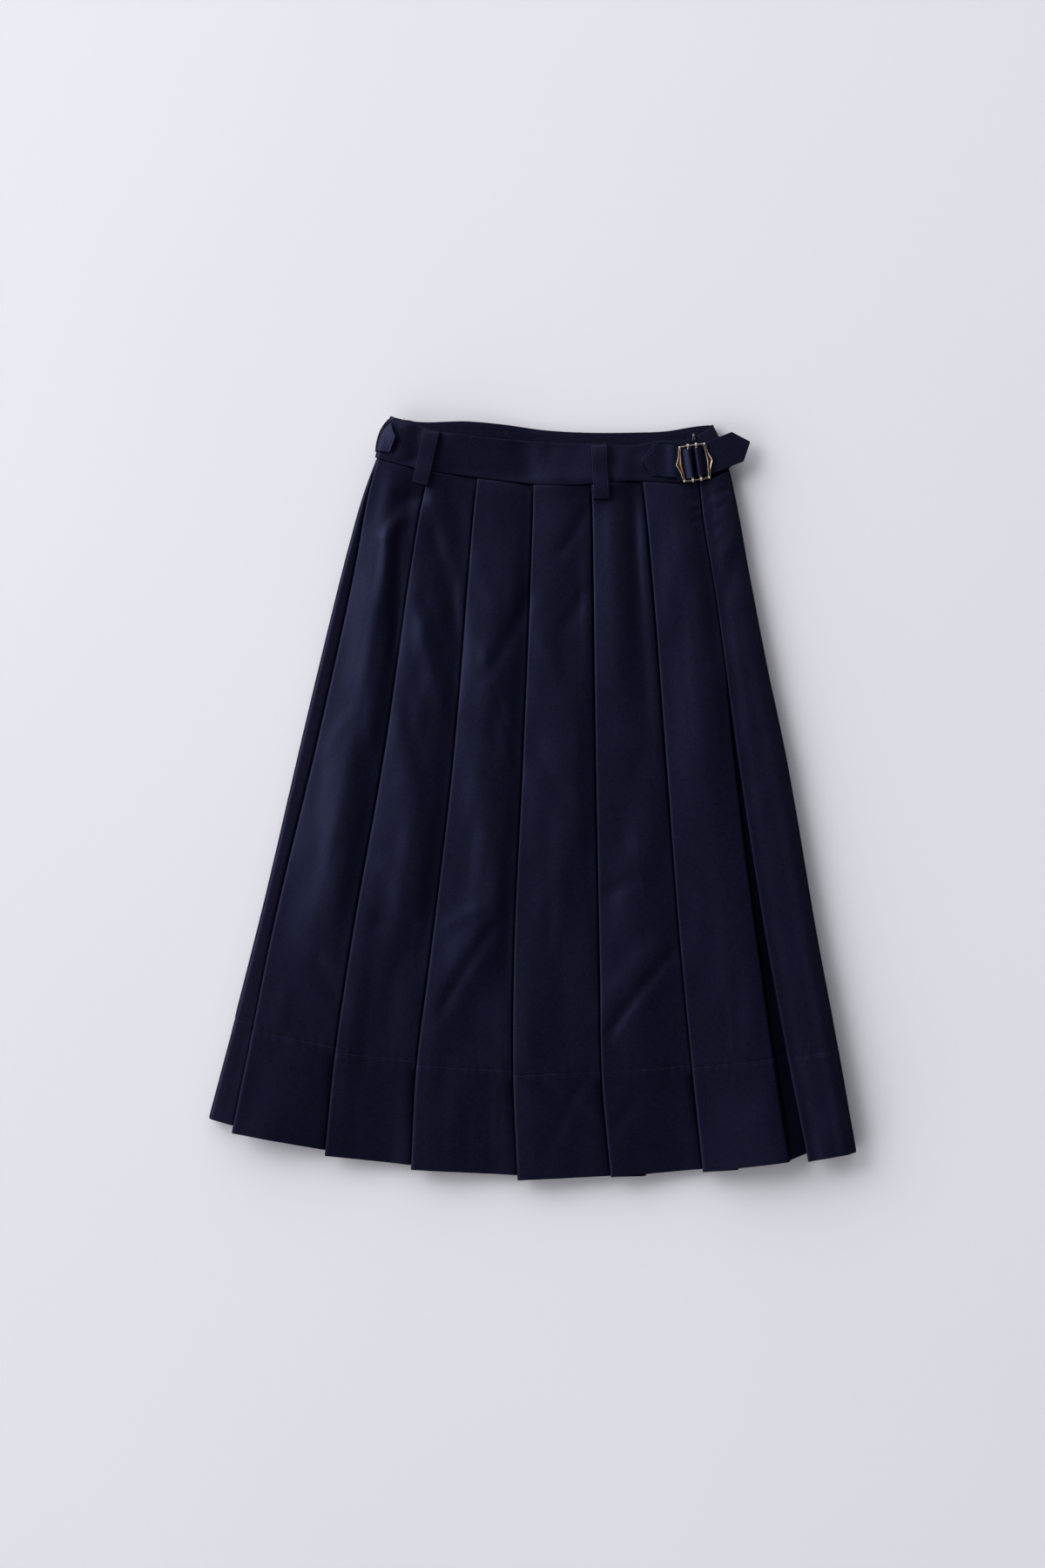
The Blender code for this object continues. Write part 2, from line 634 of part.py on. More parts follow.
def loop_stations(row, steps, on_front):
    """Stations of a belt loop; steps are (share of its length, clearance off the cloth)."""
    _, top_x, low_x, drop = row
    top_edge, seam = (FRONT_TOP, FRONT_SEAM) if on_front else (BACK_TOP, BACK_SEAM)
    top = Vector((top_x, edge_y(top_edge, top_x), 0))
    low = Vector((low_x, edge_y(seam, low_x) - drop, 0))
    down = (low - top).normalized()
    across = Vector((-down.y, down.x, 0)) * (LOOP_WIDTH / 2)
    stations = []
    for part, off in steps:
        at = top.lerp(low, part)
        seam_y = edge_y(seam, at.x)
        band = edge_y(top_edge, at.x) - seam_y
        share = (seam_y - at.y) / (band if at.y > seam_y else GORE_LENGTH)
        if on_front:
            sides = [ring(share).height(at.x + dx) for dx in (-LOOP_WIDTH / 2, 0, LOOP_WIDTH / 2)]
            at.z = max(sides) + off + LOOP_WALL / 2
        else:
            at.z = section("lift", share) - off - LOOP_WALL / 2
        stations.append((at, across))
    return stations


def make_belt_loops():
    arch = ((0.0, LOOP_SEAT), (0.05, LOOP_ROOM / 2), (0.1, LOOP_ROOM), (0.5, LOOP_ROOM))
    arch += ((0.9, LOOP_ROOM), (0.96, LOOP_ROOM / 2), (1.0, LOOP_SEAT))
    for row in FRONT_LOOPS:
        ribbon(row[0], loop_stations(row, arch, True), LOOP_WALL, NAVY)
    flat = ((0.0, BACK_LOOP_GAP), (0.5, BACK_LOOP_GAP), (1.0, BACK_LOOP_GAP))
    for row in BACK_LOOPS:
        ribbon(row[0], loop_stations(row, flat, False), LOOP_WALL, NAVY)


def adjuster_frame(centre, degrees, base, outward):
    """Maps an adjuster's (u, v, h) to the skirt's (x, y, z)."""
    turn = math.radians(degrees)
    ex = Vector((math.cos(turn), math.sin(turn), 0))
    ey = Vector((-math.sin(turn), math.cos(turn), 0))

    def place(u, v, h):
        return Vector((centre[0], centre[1], base)) + u * ex + v * ey + Vector((0, 0, outward * h))

    return place, ex, ey


def roll(place, ey, u, way):
    """Stations round a bar, from its outer side over the far side and back on the band's side."""
    stations = []
    for angle in (125, 90, 45, 0, -45, -90):
        a = math.radians(angle)
        at = place(u - way * ROLL_RADIUS * math.cos(a), 0, BAR_HEIGHT + ROLL_RADIUS * math.sin(a))
        stations.append((at, ey * (ROLL_WIDTH / 2)))
    return stations


def quartered(quarter):
    """A closed outline from its first quarter, which runs from a corner to the u axis."""
    right = list(quarter) + [(u, -v) for u, v in quarter[-2::-1]]
    return right + [(-u, v) for u, v in right[::-1]]


def make_buckle(side, place, ex, outward):
    low = BAR_HEIGHT - FRAME_WALL / 2
    plate(f"buckle_{side}_frame", quartered(FRAME_OUTER), quartered(FRAME_INNER), low,
          low + FRAME_WALL, place, ANTIQUE_SILVER)
    turn = Matrix.Rotation(math.atan2(ex.y, ex.x), 4, "Z")
    for number, u in ((1, -BAR_SPREAD), (2, BAR_SPREAD)):
        rod = bpy.data.meshes.new(f"buckle_{side}_bar_{number}")
        shape = bmesh.new()
        bmesh.ops.create_cone(shape, cap_ends=True, segments=10, radius1=BAR_RADIUS * MM,
                              radius2=BAR_RADIUS * MM, depth=2 * BAR_END * MM)
        stand = Matrix.Translation(place(u, 0, BAR_HEIGHT) * MM) @ turn
        lying = stand @ Matrix.Rotation(math.pi / 2, 4, "X")
        bmesh.ops.transform(shape, matrix=lying, verts=shape.verts)
        shape.to_mesh(rod)
        shape.free()
        bar = add_object(f"buckle_{side}_bar_{number}", rod, ANTIQUE_SILVER)
        stands = [Matrix.Translation(place(u, v, BAR_HEIGHT) * MM) @ turn for v in (-RAIL, RAIL)]
        fuse(bar, [ring_mesh(stand) for stand in stands])


def ring_mesh(stand):
    """A small wire ring round a rail that runs along X."""
    around, wire = 12, 6
    points = []
    for i in range(around):
        a = 2 * math.pi * i / around
        for j in range(wire):
            b = 2 * math.pi * j / wire
            r = RING_RADIUS + RING_WIRE * math.cos(b)
            point = Vector((RING_WIRE * math.sin(b), r * math.cos(a), r * math.sin(a)))
            points.append(stand @ (point * MM))
    faces = []
    for i in range(around):
        for j in range(wire):
            k, m = (i + 1) % around, (j + 1) % wire
            faces.append((i * wire + j, k * wire + j, k * wire + m, i * wire + m))
    return closed_mesh("ring", [p / MM for p in points], faces)


def layer(number):
    """Height of a strap layer's middle above the band: 1 is next to it."""
    return (number - 0.5) * STRAP_WALL + number * STRAP_GAP + STRAP_EASE


def slanted(degrees):
    turn = math.radians(degrees)
    return Vector((math.cos(turn), math.sin(turn), 0)), Vector((-math.sin(turn), math.cos(turn), 0))


def make_right_adjuster():
    place, ex, ey = adjuster_frame(RIGHT_BUCKLE, RIGHT_BUCKLE_TURN, RIGHT_BUCKLE_BASE, 1)
    half = STRAP_WIDTH / 2
    tab = []
    for x, y, off, degrees in RIGHT_TAB:
        share = -(y - edge_y(FRONT_SEAM, x)) / 44
        height = ring(round(share, 2)).height(x) + layer(off)
        tab.append((Vector((x, y, height)), slanted(degrees)[1] * half))
    tab.append((place(-12.0, 0, 2.9), ey * half))
    tab += roll(place, ey, -BAR_SPREAD, -1)
    tab += [(place(-9.0, 0, 1.3), ey * half), (place(-19.0, 0, layer(1)), ey * half)]
    ribbon("adjuster_right_tab", tab, STRAP_WALL, NAVY, start_point=RIGHT_TAB_POINT)

    run, cross = slanted(TAIL_TURN)
    bar = place(BAR_SPREAD, 0, 0)

    def off_bar(far, height):
        return bar + run * far + Vector((0, 0, height))

    strap = [(off_bar(far, height), cross * half) for far, height in TAIL_RUN]
    strap.append((off_bar(7.0, 2.95), ey * (ROLL_WIDTH / 2)))
    strap += roll(place, ey, BAR_SPREAD, 1)
    strap.append((off_bar(4.5, 1.5), ey.lerp(cross, 0.5).normalized() * half))
    strap += [(off_bar(far, height), cross * half) for far, height in STRAP_RUN]
    # then round the side and along under the back of the band
    fold = Vector((*SIDE_FOLD, 0)).normalized() * half
    here = ring(RIGHT_SHARE)
    lift = section("lift", RIGHT_SHARE)
    middle = Vector((here.right - here.r, SIDE_Y, lift + here.r))
    over = here.r + 0.7 + STRAP_WALL / 2
    below = here.r + 0.3 + STRAP_WALL / 2
    for step, degrees in enumerate((75, 45, 15, -15, -45, -75)):
        a = math.radians(degrees)
        height = (over if a > 0 else below) * math.sin(a)
        turn = Vector((over * math.cos(a), SIDE_CLIMB * step, height))
        strap.append((middle + turn, fold))
    low = lift - 0.35 - STRAP_WALL / 2
    strap += [(Vector((x, y, low)), Vector((-0.04, 1, 0)) * half) for x, y in BACK_RUN]
    ribbon("adjuster_right_strap", strap, STRAP_WALL, NAVY, start_point=TAIL_POINT)
    make_buckle("right", place, ex, 1)


def make_left_adjuster():
    """The tab starts on the front and turns under the left side; the buckle is on the back."""
    here = ring(LEFT_SHARE)
    base = section("lift", LEFT_SHARE) + section("knoll", LEFT_SHARE)
    place, ex, ey = adjuster_frame(LEFT_BUCKLE, LEFT_BUCKLE_TURN, base, -1)
    half = STRAP_WIDTH / 2
    fold = Vector((*LEFT_FOLD, 0)).normalized() * half
    middle = Vector((here.left + here.r, LEFT_TAB_Y, base + here.r))
    reach = here.r + 0.7 + STRAP_WALL / 2 + LEFT_TAB_EASE
    tab = [(middle + Vector((*LEFT_TAB_END, reach)), fold)]
    for degrees in (80, 45, 15, -15, -45, -75):
        a = math.radians(degrees)
        tab.append((middle + Vector((-reach * math.cos(a), 0, reach * math.sin(a))), fold))
    tab += [(place(-12.0, 0, 2.9), ey * half)]
    tab += roll(place, ey, -BAR_SPREAD, -1)
    tab += [(place(-8.5, 0, 1.3), ey * half)]
    ribbon("adjuster_left_tab", tab, STRAP_WALL, NAVY, start_point=LEFT_TAB_POINT)

    def station(u, h):
        return place(u, 0, h), ey * half

    strap = [station(u, h) for u, h in ((46, 2.8), (30, 2.8), (16, 2.75), (11.9, 3.0))]
    strap += roll(place, ey, BAR_SPREAD, 1)
    strap += [station(u, h) for u, h in ((8.8, 1.5), (12.8, 0.95), (36, 1.1), (58, 1.1))]
    ribbon("adjuster_left_strap", strap, STRAP_WALL, NAVY, start_point=TAIL_POINT)
    make_buckle("left", place, ex, -1)


def bail_mesh(pin):
    """A flat staple that stands on the slider, with the pull's pin in it."""
    points = []
    for dx in (-BAIL_WIDTH / 2, BAIL_WIDTH / 2):
        for side in (BAIL_OUTER, BAIL_INNER):
            points += [(pin.x + dx, pin.y + v, pin.z + h) for v, h in side]
    n = len(BAIL_OUTER)
    faces = [(0, n, 3 * n, 2 * n), (n - 1, 3 * n - 1, 4 * n - 1, 2 * n - 1)]
    for i in range(n - 1):
        faces.append((i, i + 1, n + i + 1, n + i))
        faces.append((2 * n + i, 3 * n + i, 3 * n + i + 1, 2 * n + i + 1))
        faces.append((i, 2 * n + i, 2 * n + i + 1, i + 1))
        faces.append((n + i, n + i + 1, 3 * n + i + 1, 3 * n + i))
    return closed_mesh("bail", points, faces)


def make_zip():
    outer, inner = [], []
    for share in (-0.9, -0.5, 0.0, 0.05, 0.15, ZIP_END - 0.01):
        here = ring(share)
        x = zip_x(share) if share < 0 else along(FOLD_SHARES, FRONT_FOLDS[ZIP_FOLD][0], share)
        s = here.at_front(x)
        seam_y = here.seam_y(s)
        reach = here.top_y(s) - seam_y if share < 0 else seam_y - FRONT_FOLDS[ZIP_FOLD][1]
        for face, depth in ((outer, TAPE_DEPTH), (inner, TAPE_DEPTH + TAPE_WALL)):
            row = [here.point(s + across, depth) for across in (-TAPE_HALF, 0.0, TAPE_HALF)]
            face.append([(px, seam_y - reach * share, pz) for px, pz in row])
    slab("zip_tape", outer, inner, NAVY_DARK)

    share = -0.9
    x, top = zip_x(share) - 0.1, ring(share).height(zip_x(share)) + SLIDER_RISE
    w, l, h = SLIDER
    low, high = (x - w / 2, SLIDER_Y - l / 2, top - h), (x + w / 2, SLIDER_Y + l / 2, top)
    slider = add_object("zip_slider", block(low, high, "zip_slider"), ZIP_METAL)
    pin = Vector((x, SLIDER_Y + PIN_PLACE[0], top + PIN_PLACE[1]))
    fuse(slider, [bail_mesh(pin)])

    outline = list(PULL_OUTLINE) + [(-u, v) for u, v in PULL_OUTLINE[::-1]]
    hole = list(PULL_HOLE) + [(-u, v) for u, v in PULL_HOLE[::-1]]
    pull = plate("zip_pull", outline, hole, -PULL_WALL / 2, PULL_WALL / 2,
                 lambda u, v, h: Vector((u, v, h)), ZIP_METAL)
    pull.location = pin * MM


def main():
    for old in list(bpy.data.objects):
        bpy.data.objects.remove(old, do_unlink=True)
    make_gores()
    make_waistband()
    make_belt_loops()
    make_right_adjuster()
    make_left_adjuster()
    make_zip()


main()
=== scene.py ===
"""The looks of a pleated midi skirt that lies flat on its back: cloth, stitching and metal.

Every piece is made in millimetres, in the frame's own axes: +X to the right of the front, +Y up to
the waist and +Z up from the floor. Meshes are turned to metres as they are made.
"""
import math
from functools import lru_cache

import bpy
import numpy as np
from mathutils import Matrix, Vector


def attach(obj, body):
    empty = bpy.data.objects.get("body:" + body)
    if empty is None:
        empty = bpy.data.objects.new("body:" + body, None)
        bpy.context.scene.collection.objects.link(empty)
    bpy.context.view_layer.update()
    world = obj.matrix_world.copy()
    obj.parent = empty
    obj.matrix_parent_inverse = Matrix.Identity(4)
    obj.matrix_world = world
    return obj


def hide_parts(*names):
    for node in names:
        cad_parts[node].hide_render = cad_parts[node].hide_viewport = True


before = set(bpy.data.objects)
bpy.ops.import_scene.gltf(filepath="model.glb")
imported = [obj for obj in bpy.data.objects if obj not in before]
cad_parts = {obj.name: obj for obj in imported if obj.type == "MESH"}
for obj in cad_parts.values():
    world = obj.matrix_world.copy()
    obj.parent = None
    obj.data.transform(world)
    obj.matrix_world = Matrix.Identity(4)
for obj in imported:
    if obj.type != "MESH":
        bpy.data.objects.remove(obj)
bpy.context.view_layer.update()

MM = 0.001

# ---- sizes of the cut, in millimetres ----
CLOTH = 1.0            # room that one layer takes
HEM_CLOTH = 1.6        # and where the hem is turned up
PLY = 0.7              # the cloth itself
LAYER_GAP = 0.5
SEAM_GAP = 0.5
BAND_WALL = 2.0
FACING_WALL = 1.0
STRAP_WALL = 1.4
LOOP_WALL = 1.6
LOOP_WIDTH = 16.5
LOOP_ROOM = 5.0        # under a front loop, between its seats
LOOP_SEAT = 0.5
BACK_LOOP_GAP = 0.4
TUCK_AT_WAIST = 16.0
TUCK_AT_HEM = 36.0
FRONT_REACH = 90.0     # from each side to where the front has its full height
KNOLL_END = 10.0       # the x from which the back rises towards the left
KNOLL_SLOPE = 86.0     # and how far its slope is
KNOLL_SHARE = 0.6      # of that rise, what the front follows
ZIP_END = 0.29
HEM_START = 0.85
HEM_TURN = 108.0
ZIP_SLOT = 5.4
GORE_LENGTH = 720.0
BAND_DEPTH = 44.0

# Cross-sections of the lying tube: the share is -1 at the band's top, 0 at its seam, 1 at the hem.
# left and right are its outline, crown the front's height, side the height of the turns at its
# sides, lift the back's height and knoll how much higher the back lies at the left.
SECTION_COLUMNS = ("share", "left", "right", "crown", "side", "lift", "knoll")
SECTIONS = (
    (-1.00, -146.0, 189.0, 14.2, 8.0, 2.3, 5.9),
    (-0.60, -156.0, 198.0, 14.2, 9.0, 2.3, 5.9),
    (-0.25, -159.8, 203.5, 14.2, 9.0, 2.3, 5.9),
    (0.00, -162.0, 206.0, 14.6, 9.6, 2.3, 5.9),
    (0.05, -174.5, 213.5, 15.3, 10.4, 2.3, 5.0),
    (0.15, -194.0, 226.5, 16.8, 11.5, 0.0, 3.0),
    (0.29, -218.0, 245.5, 18.0, 12.0, 0.0, 0.0),
    (0.40, -236.0, 262.0, 19.0, 12.0, 0.0, 0.0),
    (0.70, -284.0, 299.0, 21.5, 12.5, 0.0, 0.0),
    (0.85, -310.0, 318.5, 23.0, 13.0, 0.0, 0.0),
    (1.00, -337.0, 337.0, 24.0, 13.0, 0.0, 0.0),
)

# Folded edges of the pleats. corner is the y of the edge's end at the hem, tuck that of the
# neighbour which goes under it.
FOLD_SHARES = (0.0, 0.05, 0.15, 0.4, 0.7, 0.85, 1.0)
FRONT_FOLDS = (
    # x at each share                                       corner   tuck
    ((-158.5, -167.5, -180.5, -218.0, -267.0, -287.5, -308.5), -347.0, -340.7),
    ((-105.5, -113.0, -125.0, -150.0, -186.5, -202.0, -213.0), -371.0, -366.0),
    ((-55.0, -59.0, -65.0, -79.5, -104.5, -118.0, -124.0), -385.5, -381.5),
    ((3.0, 2.0, -0.5, -8.0, -17.5, -18.0, -13.5), -396.5, -392.0),
    ((63.0, 64.0, 65.0, 67.5, 71.5, 73.5, 83.0), -393.0, -392.5),
    ((116.0, 120.0, 126.5, 140.0, 156.5, 167.0, 178.5), -388.0, -385.5),
    ((175.0, 178.5, 190.0, 214.0, 247.0, 266.5, 287.5), -376.5, -369.5),
)
BACK_FOLDS = (
    # x at the waist, x at the hem, corner, tuck; right to left
    (193.5, 297.0, -370.0, -366.0),
    (143.0, 209.0, -381.0, -376.0),
    (92.5, 120.6, -392.0, -386.0),
    (42.0, 27.0, -392.5, -393.5),
    (-8.5, -67.5, -386.0, -387.0),
    (-59.0, -164.0, -372.0, -370.0),
    (-110.0, -259.0, -352.0, -349.0),
)
FOLD_COUNT = len(FRONT_FOLDS) + len(BACK_FOLDS)
RIGHT_SIDE_HEM = -366.0
LEFT_SIDE_HEM = -331.7
LEFT_SINK = (0.0, 0.0, 0.05, 0.15, 0.35, 0.6)
ZIP_FOLD = 6

# The open pleat below the zip
GAPE_COLUMNS = ("share", "width", "depth")
GAPE = (
    (0.0, 0.0, 0.0),
    (0.30, 0.0, 0.0),
    (0.50, 5.0, 3.5),
    (0.70, 9.0, 7.5),
    (0.85, 14.0, 8.0),
    (1.0, 19.0, 8.0),
)
GAPE_HEM = -376.2

# Edges of the waistband: (x, y) along each
FRONT_SEAM = ((-162, 352), (-123, 341.7), (-60, 332), (3.6, 325), (45, 323.8), (84, 326.8),
              (117, 328), (160, 326), (176, 327.4), (206, 340.7))
BACK_SEAM = ((-162, 352), (-110, 348), (-62, 347), (12.6, 338.6), (57, 336), (139, 337),
             (206, 341))
FRONT_TOP = ((-146, 395), (-124, 387.5), (-93.6, 378.5), (-62, 374), (5, 368.6), (79, 366.2),
             (109, 365.2), (131, 369.5), (164, 371.9), (169, 374), (176, 377.6), (189, 387))
BACK_TOP = ((-146, 395), (-129.6, 391), (-62, 389.8), (-25, 386.6), (12.6, 381.6), (57, 379),
            (102, 379), (139, 380.3), (176, 386), (189, 387))
ZIP_TOP_X = 168.0
ZIP_SEAM_X = 175.0

# How each front panel stands up or dips between its folds, in millimetres. edge is the lift of its own
# folded edge, and the other columns are places across it, from that edge to the next fold.
FORM_COLUMNS = ("share", "edge", 0.15, 0.35, 0.55, 0.75, 0.92)
PANEL_FORMS = (
    (
        (0.00, 0.0, 0.2, 0.3, 0.3, 0.0, 0.0),
        (0.07, 0.0, 0.7, 2.1, 1.5, -0.4, -0.2),
        (0.12, 0.2, 1.6, 3.5, 4.8, 1.0, -0.2),
        (0.22, 0.2, 1.8, 4.0, 5.5, 1.6, -0.8),
        (0.30, 0.0, 0.7, 3.0, 5.7, 4.7, 1.0),
        (0.37, 0.0, 0.4, 1.6, 3.7, 4.7, 1.0),
        (0.45, 0.2, 0.9, 3.3, 4.8, 3.0, 1.0),
        (0.52, 0.2, 0.9, 3.4, 5.9, 4.7, 0.8),
        (0.60, 0.5, 0.7, 1.8, 4.1, 5.2, 1.2),
        (0.68, 1.9, 0.6, 0.6, 1.4, 1.8, 0.4),
        (0.755, 3.2, 1.3, -0.4, -0.8, -0.3, -0.2),
        (0.83, 3.6, 1.5, -0.8, -1.4, -1.1, -0.8),
        (0.93, 4.1, 0.9, -1.0, -1.8, -1.3, -1.0),
        (1.00, 3.6, 0.9, -0.8, -1.8, -1.5, -1.2),
    ),
    (
        (0.00, 0.0, 0.3, 0.0, -0.3, -0.3, 0.0),
        (0.07, 1.2, 1.2, 0.3, -0.4, -0.9, -0.8),
        (0.12, 1.0, 0.9, 0.3, 0.3, 0.0, -0.4),
        (0.17, 0.5, 1.9, 1.6, 0.3, 0.3, 0.7),
        (0.22, 0.2, 1.7, 3.5, 2.0, 0.3, 0.4),
        (0.30, 0.2, 1.5, 2.2, 3.8, 2.9, 0.2),
        (0.37, 0.8, 3.0, 3.3, 2.3, 2.0, 0.4),
        (0.45, 0.6, 2.5, 4.9, 5.3, 3.2, 0.2),
        (0.52, 0.4, 2.0, 3.9, 6.5, 5.3, 0.8),
        (0.60, 0.4, 2.0, 3.2, 6.0, 5.8, 0.8),
        (0.68, 0.6, 1.6, 0.9, 1.6, 0.7, -0.4),
        (0.755, 1.2, 1.9, -0.3, -1.0, 0.0, 0.3),
        (0.83, 1.6, 1.4, -1.2, -1.6, -0.9, -0.2),
        (0.93, 2.0, 1.6, -0.7, -2.3, -2.0, -0.7),
        (1.00, 2.0, 1.6, -0.7, -2.0, -2.0, -0.8),
    ),
    (
        (0.00, 0.0, 0.1, 0.3, 0.4, 0.2, 0.0),
        (0.07, 0.0, 0.3, 1.0, 1.8, 1.9, 0.2),
        (0.12, 0.0, 0.7, 1.8, 3.3, 3.6, 0.7),
        (0.17, 0.2, 1.4, 2.7, 4.0, 4.3, 0.9),
        (0.22, 0.4, 2.4, 4.1, 4.6, 3.3, 0.6),
        (0.30, 0.4, 2.6, 4.6, 5.0, 3.6, 0.2),
        (0.37, 0.2, 1.8, 2.8, 3.3, 3.9, 0.9),
        (0.45, 0.2, 1.6, 4.1, 4.9, 3.4, 0.9),
        (0.52, 0.0, 0.7, 1.9, 5.0, 4.7, 0.4),
        (0.60, 0.0, 0.6, 1.5, 4.1, 5.6, 0.8),
        (0.68, 0.2, 1.2, 3.9, 5.2, 2.6, -0.6),
        (0.755, 0.8, 2.1, 1.4, -0.6, -0.3, 0.5),
        (0.83, 1.0, 1.0, 0.3, 0.6, 0.9, 0.9),
        (0.93, 1.1, 0.9, -0.2, -1.3, -1.8, -0.4),
        (1.00, 1.1, 0.9, -0.2, -1.3, -1.6, -0.5),
    ),
    (
        (0.00, 0.0, 0.2, 0.3, 0.5, 0.3, 0.1),
        (0.07, 0.0, 0.8, 1.7, 2.4, 1.9, 1.0),
        (0.12, 0.1, 0.8, 1.5, 1.9, 1.7, 1.8),
        (0.17, 0.1, 0.8, 1.0, 0.8, 1.1, 1.8),
        (0.22, 0.3, 1.3, 1.5, 0.8, 1.3, 1.8),
        (0.30, 0.3, 1.3, 1.8, 2.4, 3.0, 1.8),
        (0.37, 0.1, 1.0, 2.2, 3.5, 4.0, 1.4),
        (0.45, 0.1, 1.0, 2.2, 3.6, 4.1, 1.4),
        (0.52, 0.1, 0.8, 1.7, 3.2, 3.8, 1.0),
        (0.60, 0.1, 0.3, 1.5, 2.2, 1.3, 0.1),
        (0.68, 0.5, 1.3, 0.6, 0.3, 1.4, 1.3),
        (0.755, 0.8, 2.2, 1.7, 0.3, 0.6, 0.4),
        (0.83, 0.8, 1.6, 0.3, 0.2, 0.6, 0.1),
        (0.93, 0.8, 1.0, -0.2, -1.0, -0.8, -0.1),
        (1.00, 0.8, 0.8, -0.2, -1.0, -0.8, -0.3),
    ),
    (
        (0.00, 0.0, 0.2, 0.4, 0.3, 0.0, 0.2),
        (0.05, 0.2, 0.9, 2.0, 1.7, -0.2, 0.6),
        (0.10, 0.5, 1.7, 3.2, 2.4, -0.3, 0.9),
        (0.17, 0.8, 2.1, 3.4, 2.4, -0.5, 0.8),
        (0.24, 0.8, 2.0, 3.1, 2.3, 0.0, 0.9),
        (0.30, 0.5, 1.4, 2.0, 1.4, 0.0, 0.9),
        (0.37, 0.3, 0.8, 1.4, 1.7, 1.5, 1.4),
        (0.45, 0.2, 0.4, 0.2, 1.0, 2.0, 1.4),
        (0.52, 0.4, 0.1, 0.0, 2.0, 2.6, 0.8),
        (0.60, 0.4, 1.4, 3.4, 3.4, 2.0, 0.4),
        (0.68, 0.3, 0.7, 1.5, 2.4, 2.7, 0.7),
        (0.755, 0.4, 1.2, 2.3, 1.8, -0.2, -0.8),
        (0.83, 0.9, -0.2, -0.1, 0.3, -0.6, -1.2),
        (0.93, 1.4, 0.9, -1.0, -2.2, -2.5, -1.7),
        (1.00, 1.4, 0.9, -0.9, -2.0, -2.4, -1.7),
    ),
    (
        (0.00, 0.0, 0.2, 0.5, 0.7, 0.6, 0.3),
        (0.05, 0.2, 0.8, 1.9, 2.9, 2.4, 0.5),
        (0.12, 0.3, 1.2, 2.6, 4.1, 3.6, 0.5),
        (0.17, 0.2, 1.3, 2.8, 4.4, 4.1, 0.5),
        (0.22, 0.1, 0.8, 2.0, 3.3, 3.5, 0.5),
        (0.30, 0.1, 0.7, 2.5, 4.6, 4.1, 0.5),
        (0.37, 0.3, 1.4, 3.5, 5.0, 3.6, 0.5),
        (0.45, 0.4, 1.4, 2.9, 3.5, 2.0, 0.5),
        (0.52, 0.4, 1.0, 1.4, 1.7, 1.2, 0.3),
        (0.60, 0.2, 0.5, 1.0, 1.6, 1.4, 0.5),
        (0.755, 0.1, 0.3, 0.8, 1.6, 1.8, 0.5),
        (0.83, 0.3, 0.2, 0.5, 1.2, 1.5, 0.5),
        (1.00, 0.3, 0.2, 0.5, 1.1, 1.4, 0.5),
    ),
)

# And the first and last shown panels, by how far they are from the outline
SIDE_COLUMNS = ("distance", "height")
LEFT_SIDE_FORM = ((-8.0, 0.0), (0.0, 0.0), (3.0, 0.8), (7.0, 1.6), (13.0, 1.0), (20.0, -0.3), (30.0, -1.2))
RIGHT_SIDE_FORM = ((-8.0, 0.0), (0.0, 0.6), (5.0, 3.2), (10.0, 4.2), (24.0, 2.9), (44.0, 0.8), (70.0, 0.0),
                   (90.0, 0.0))

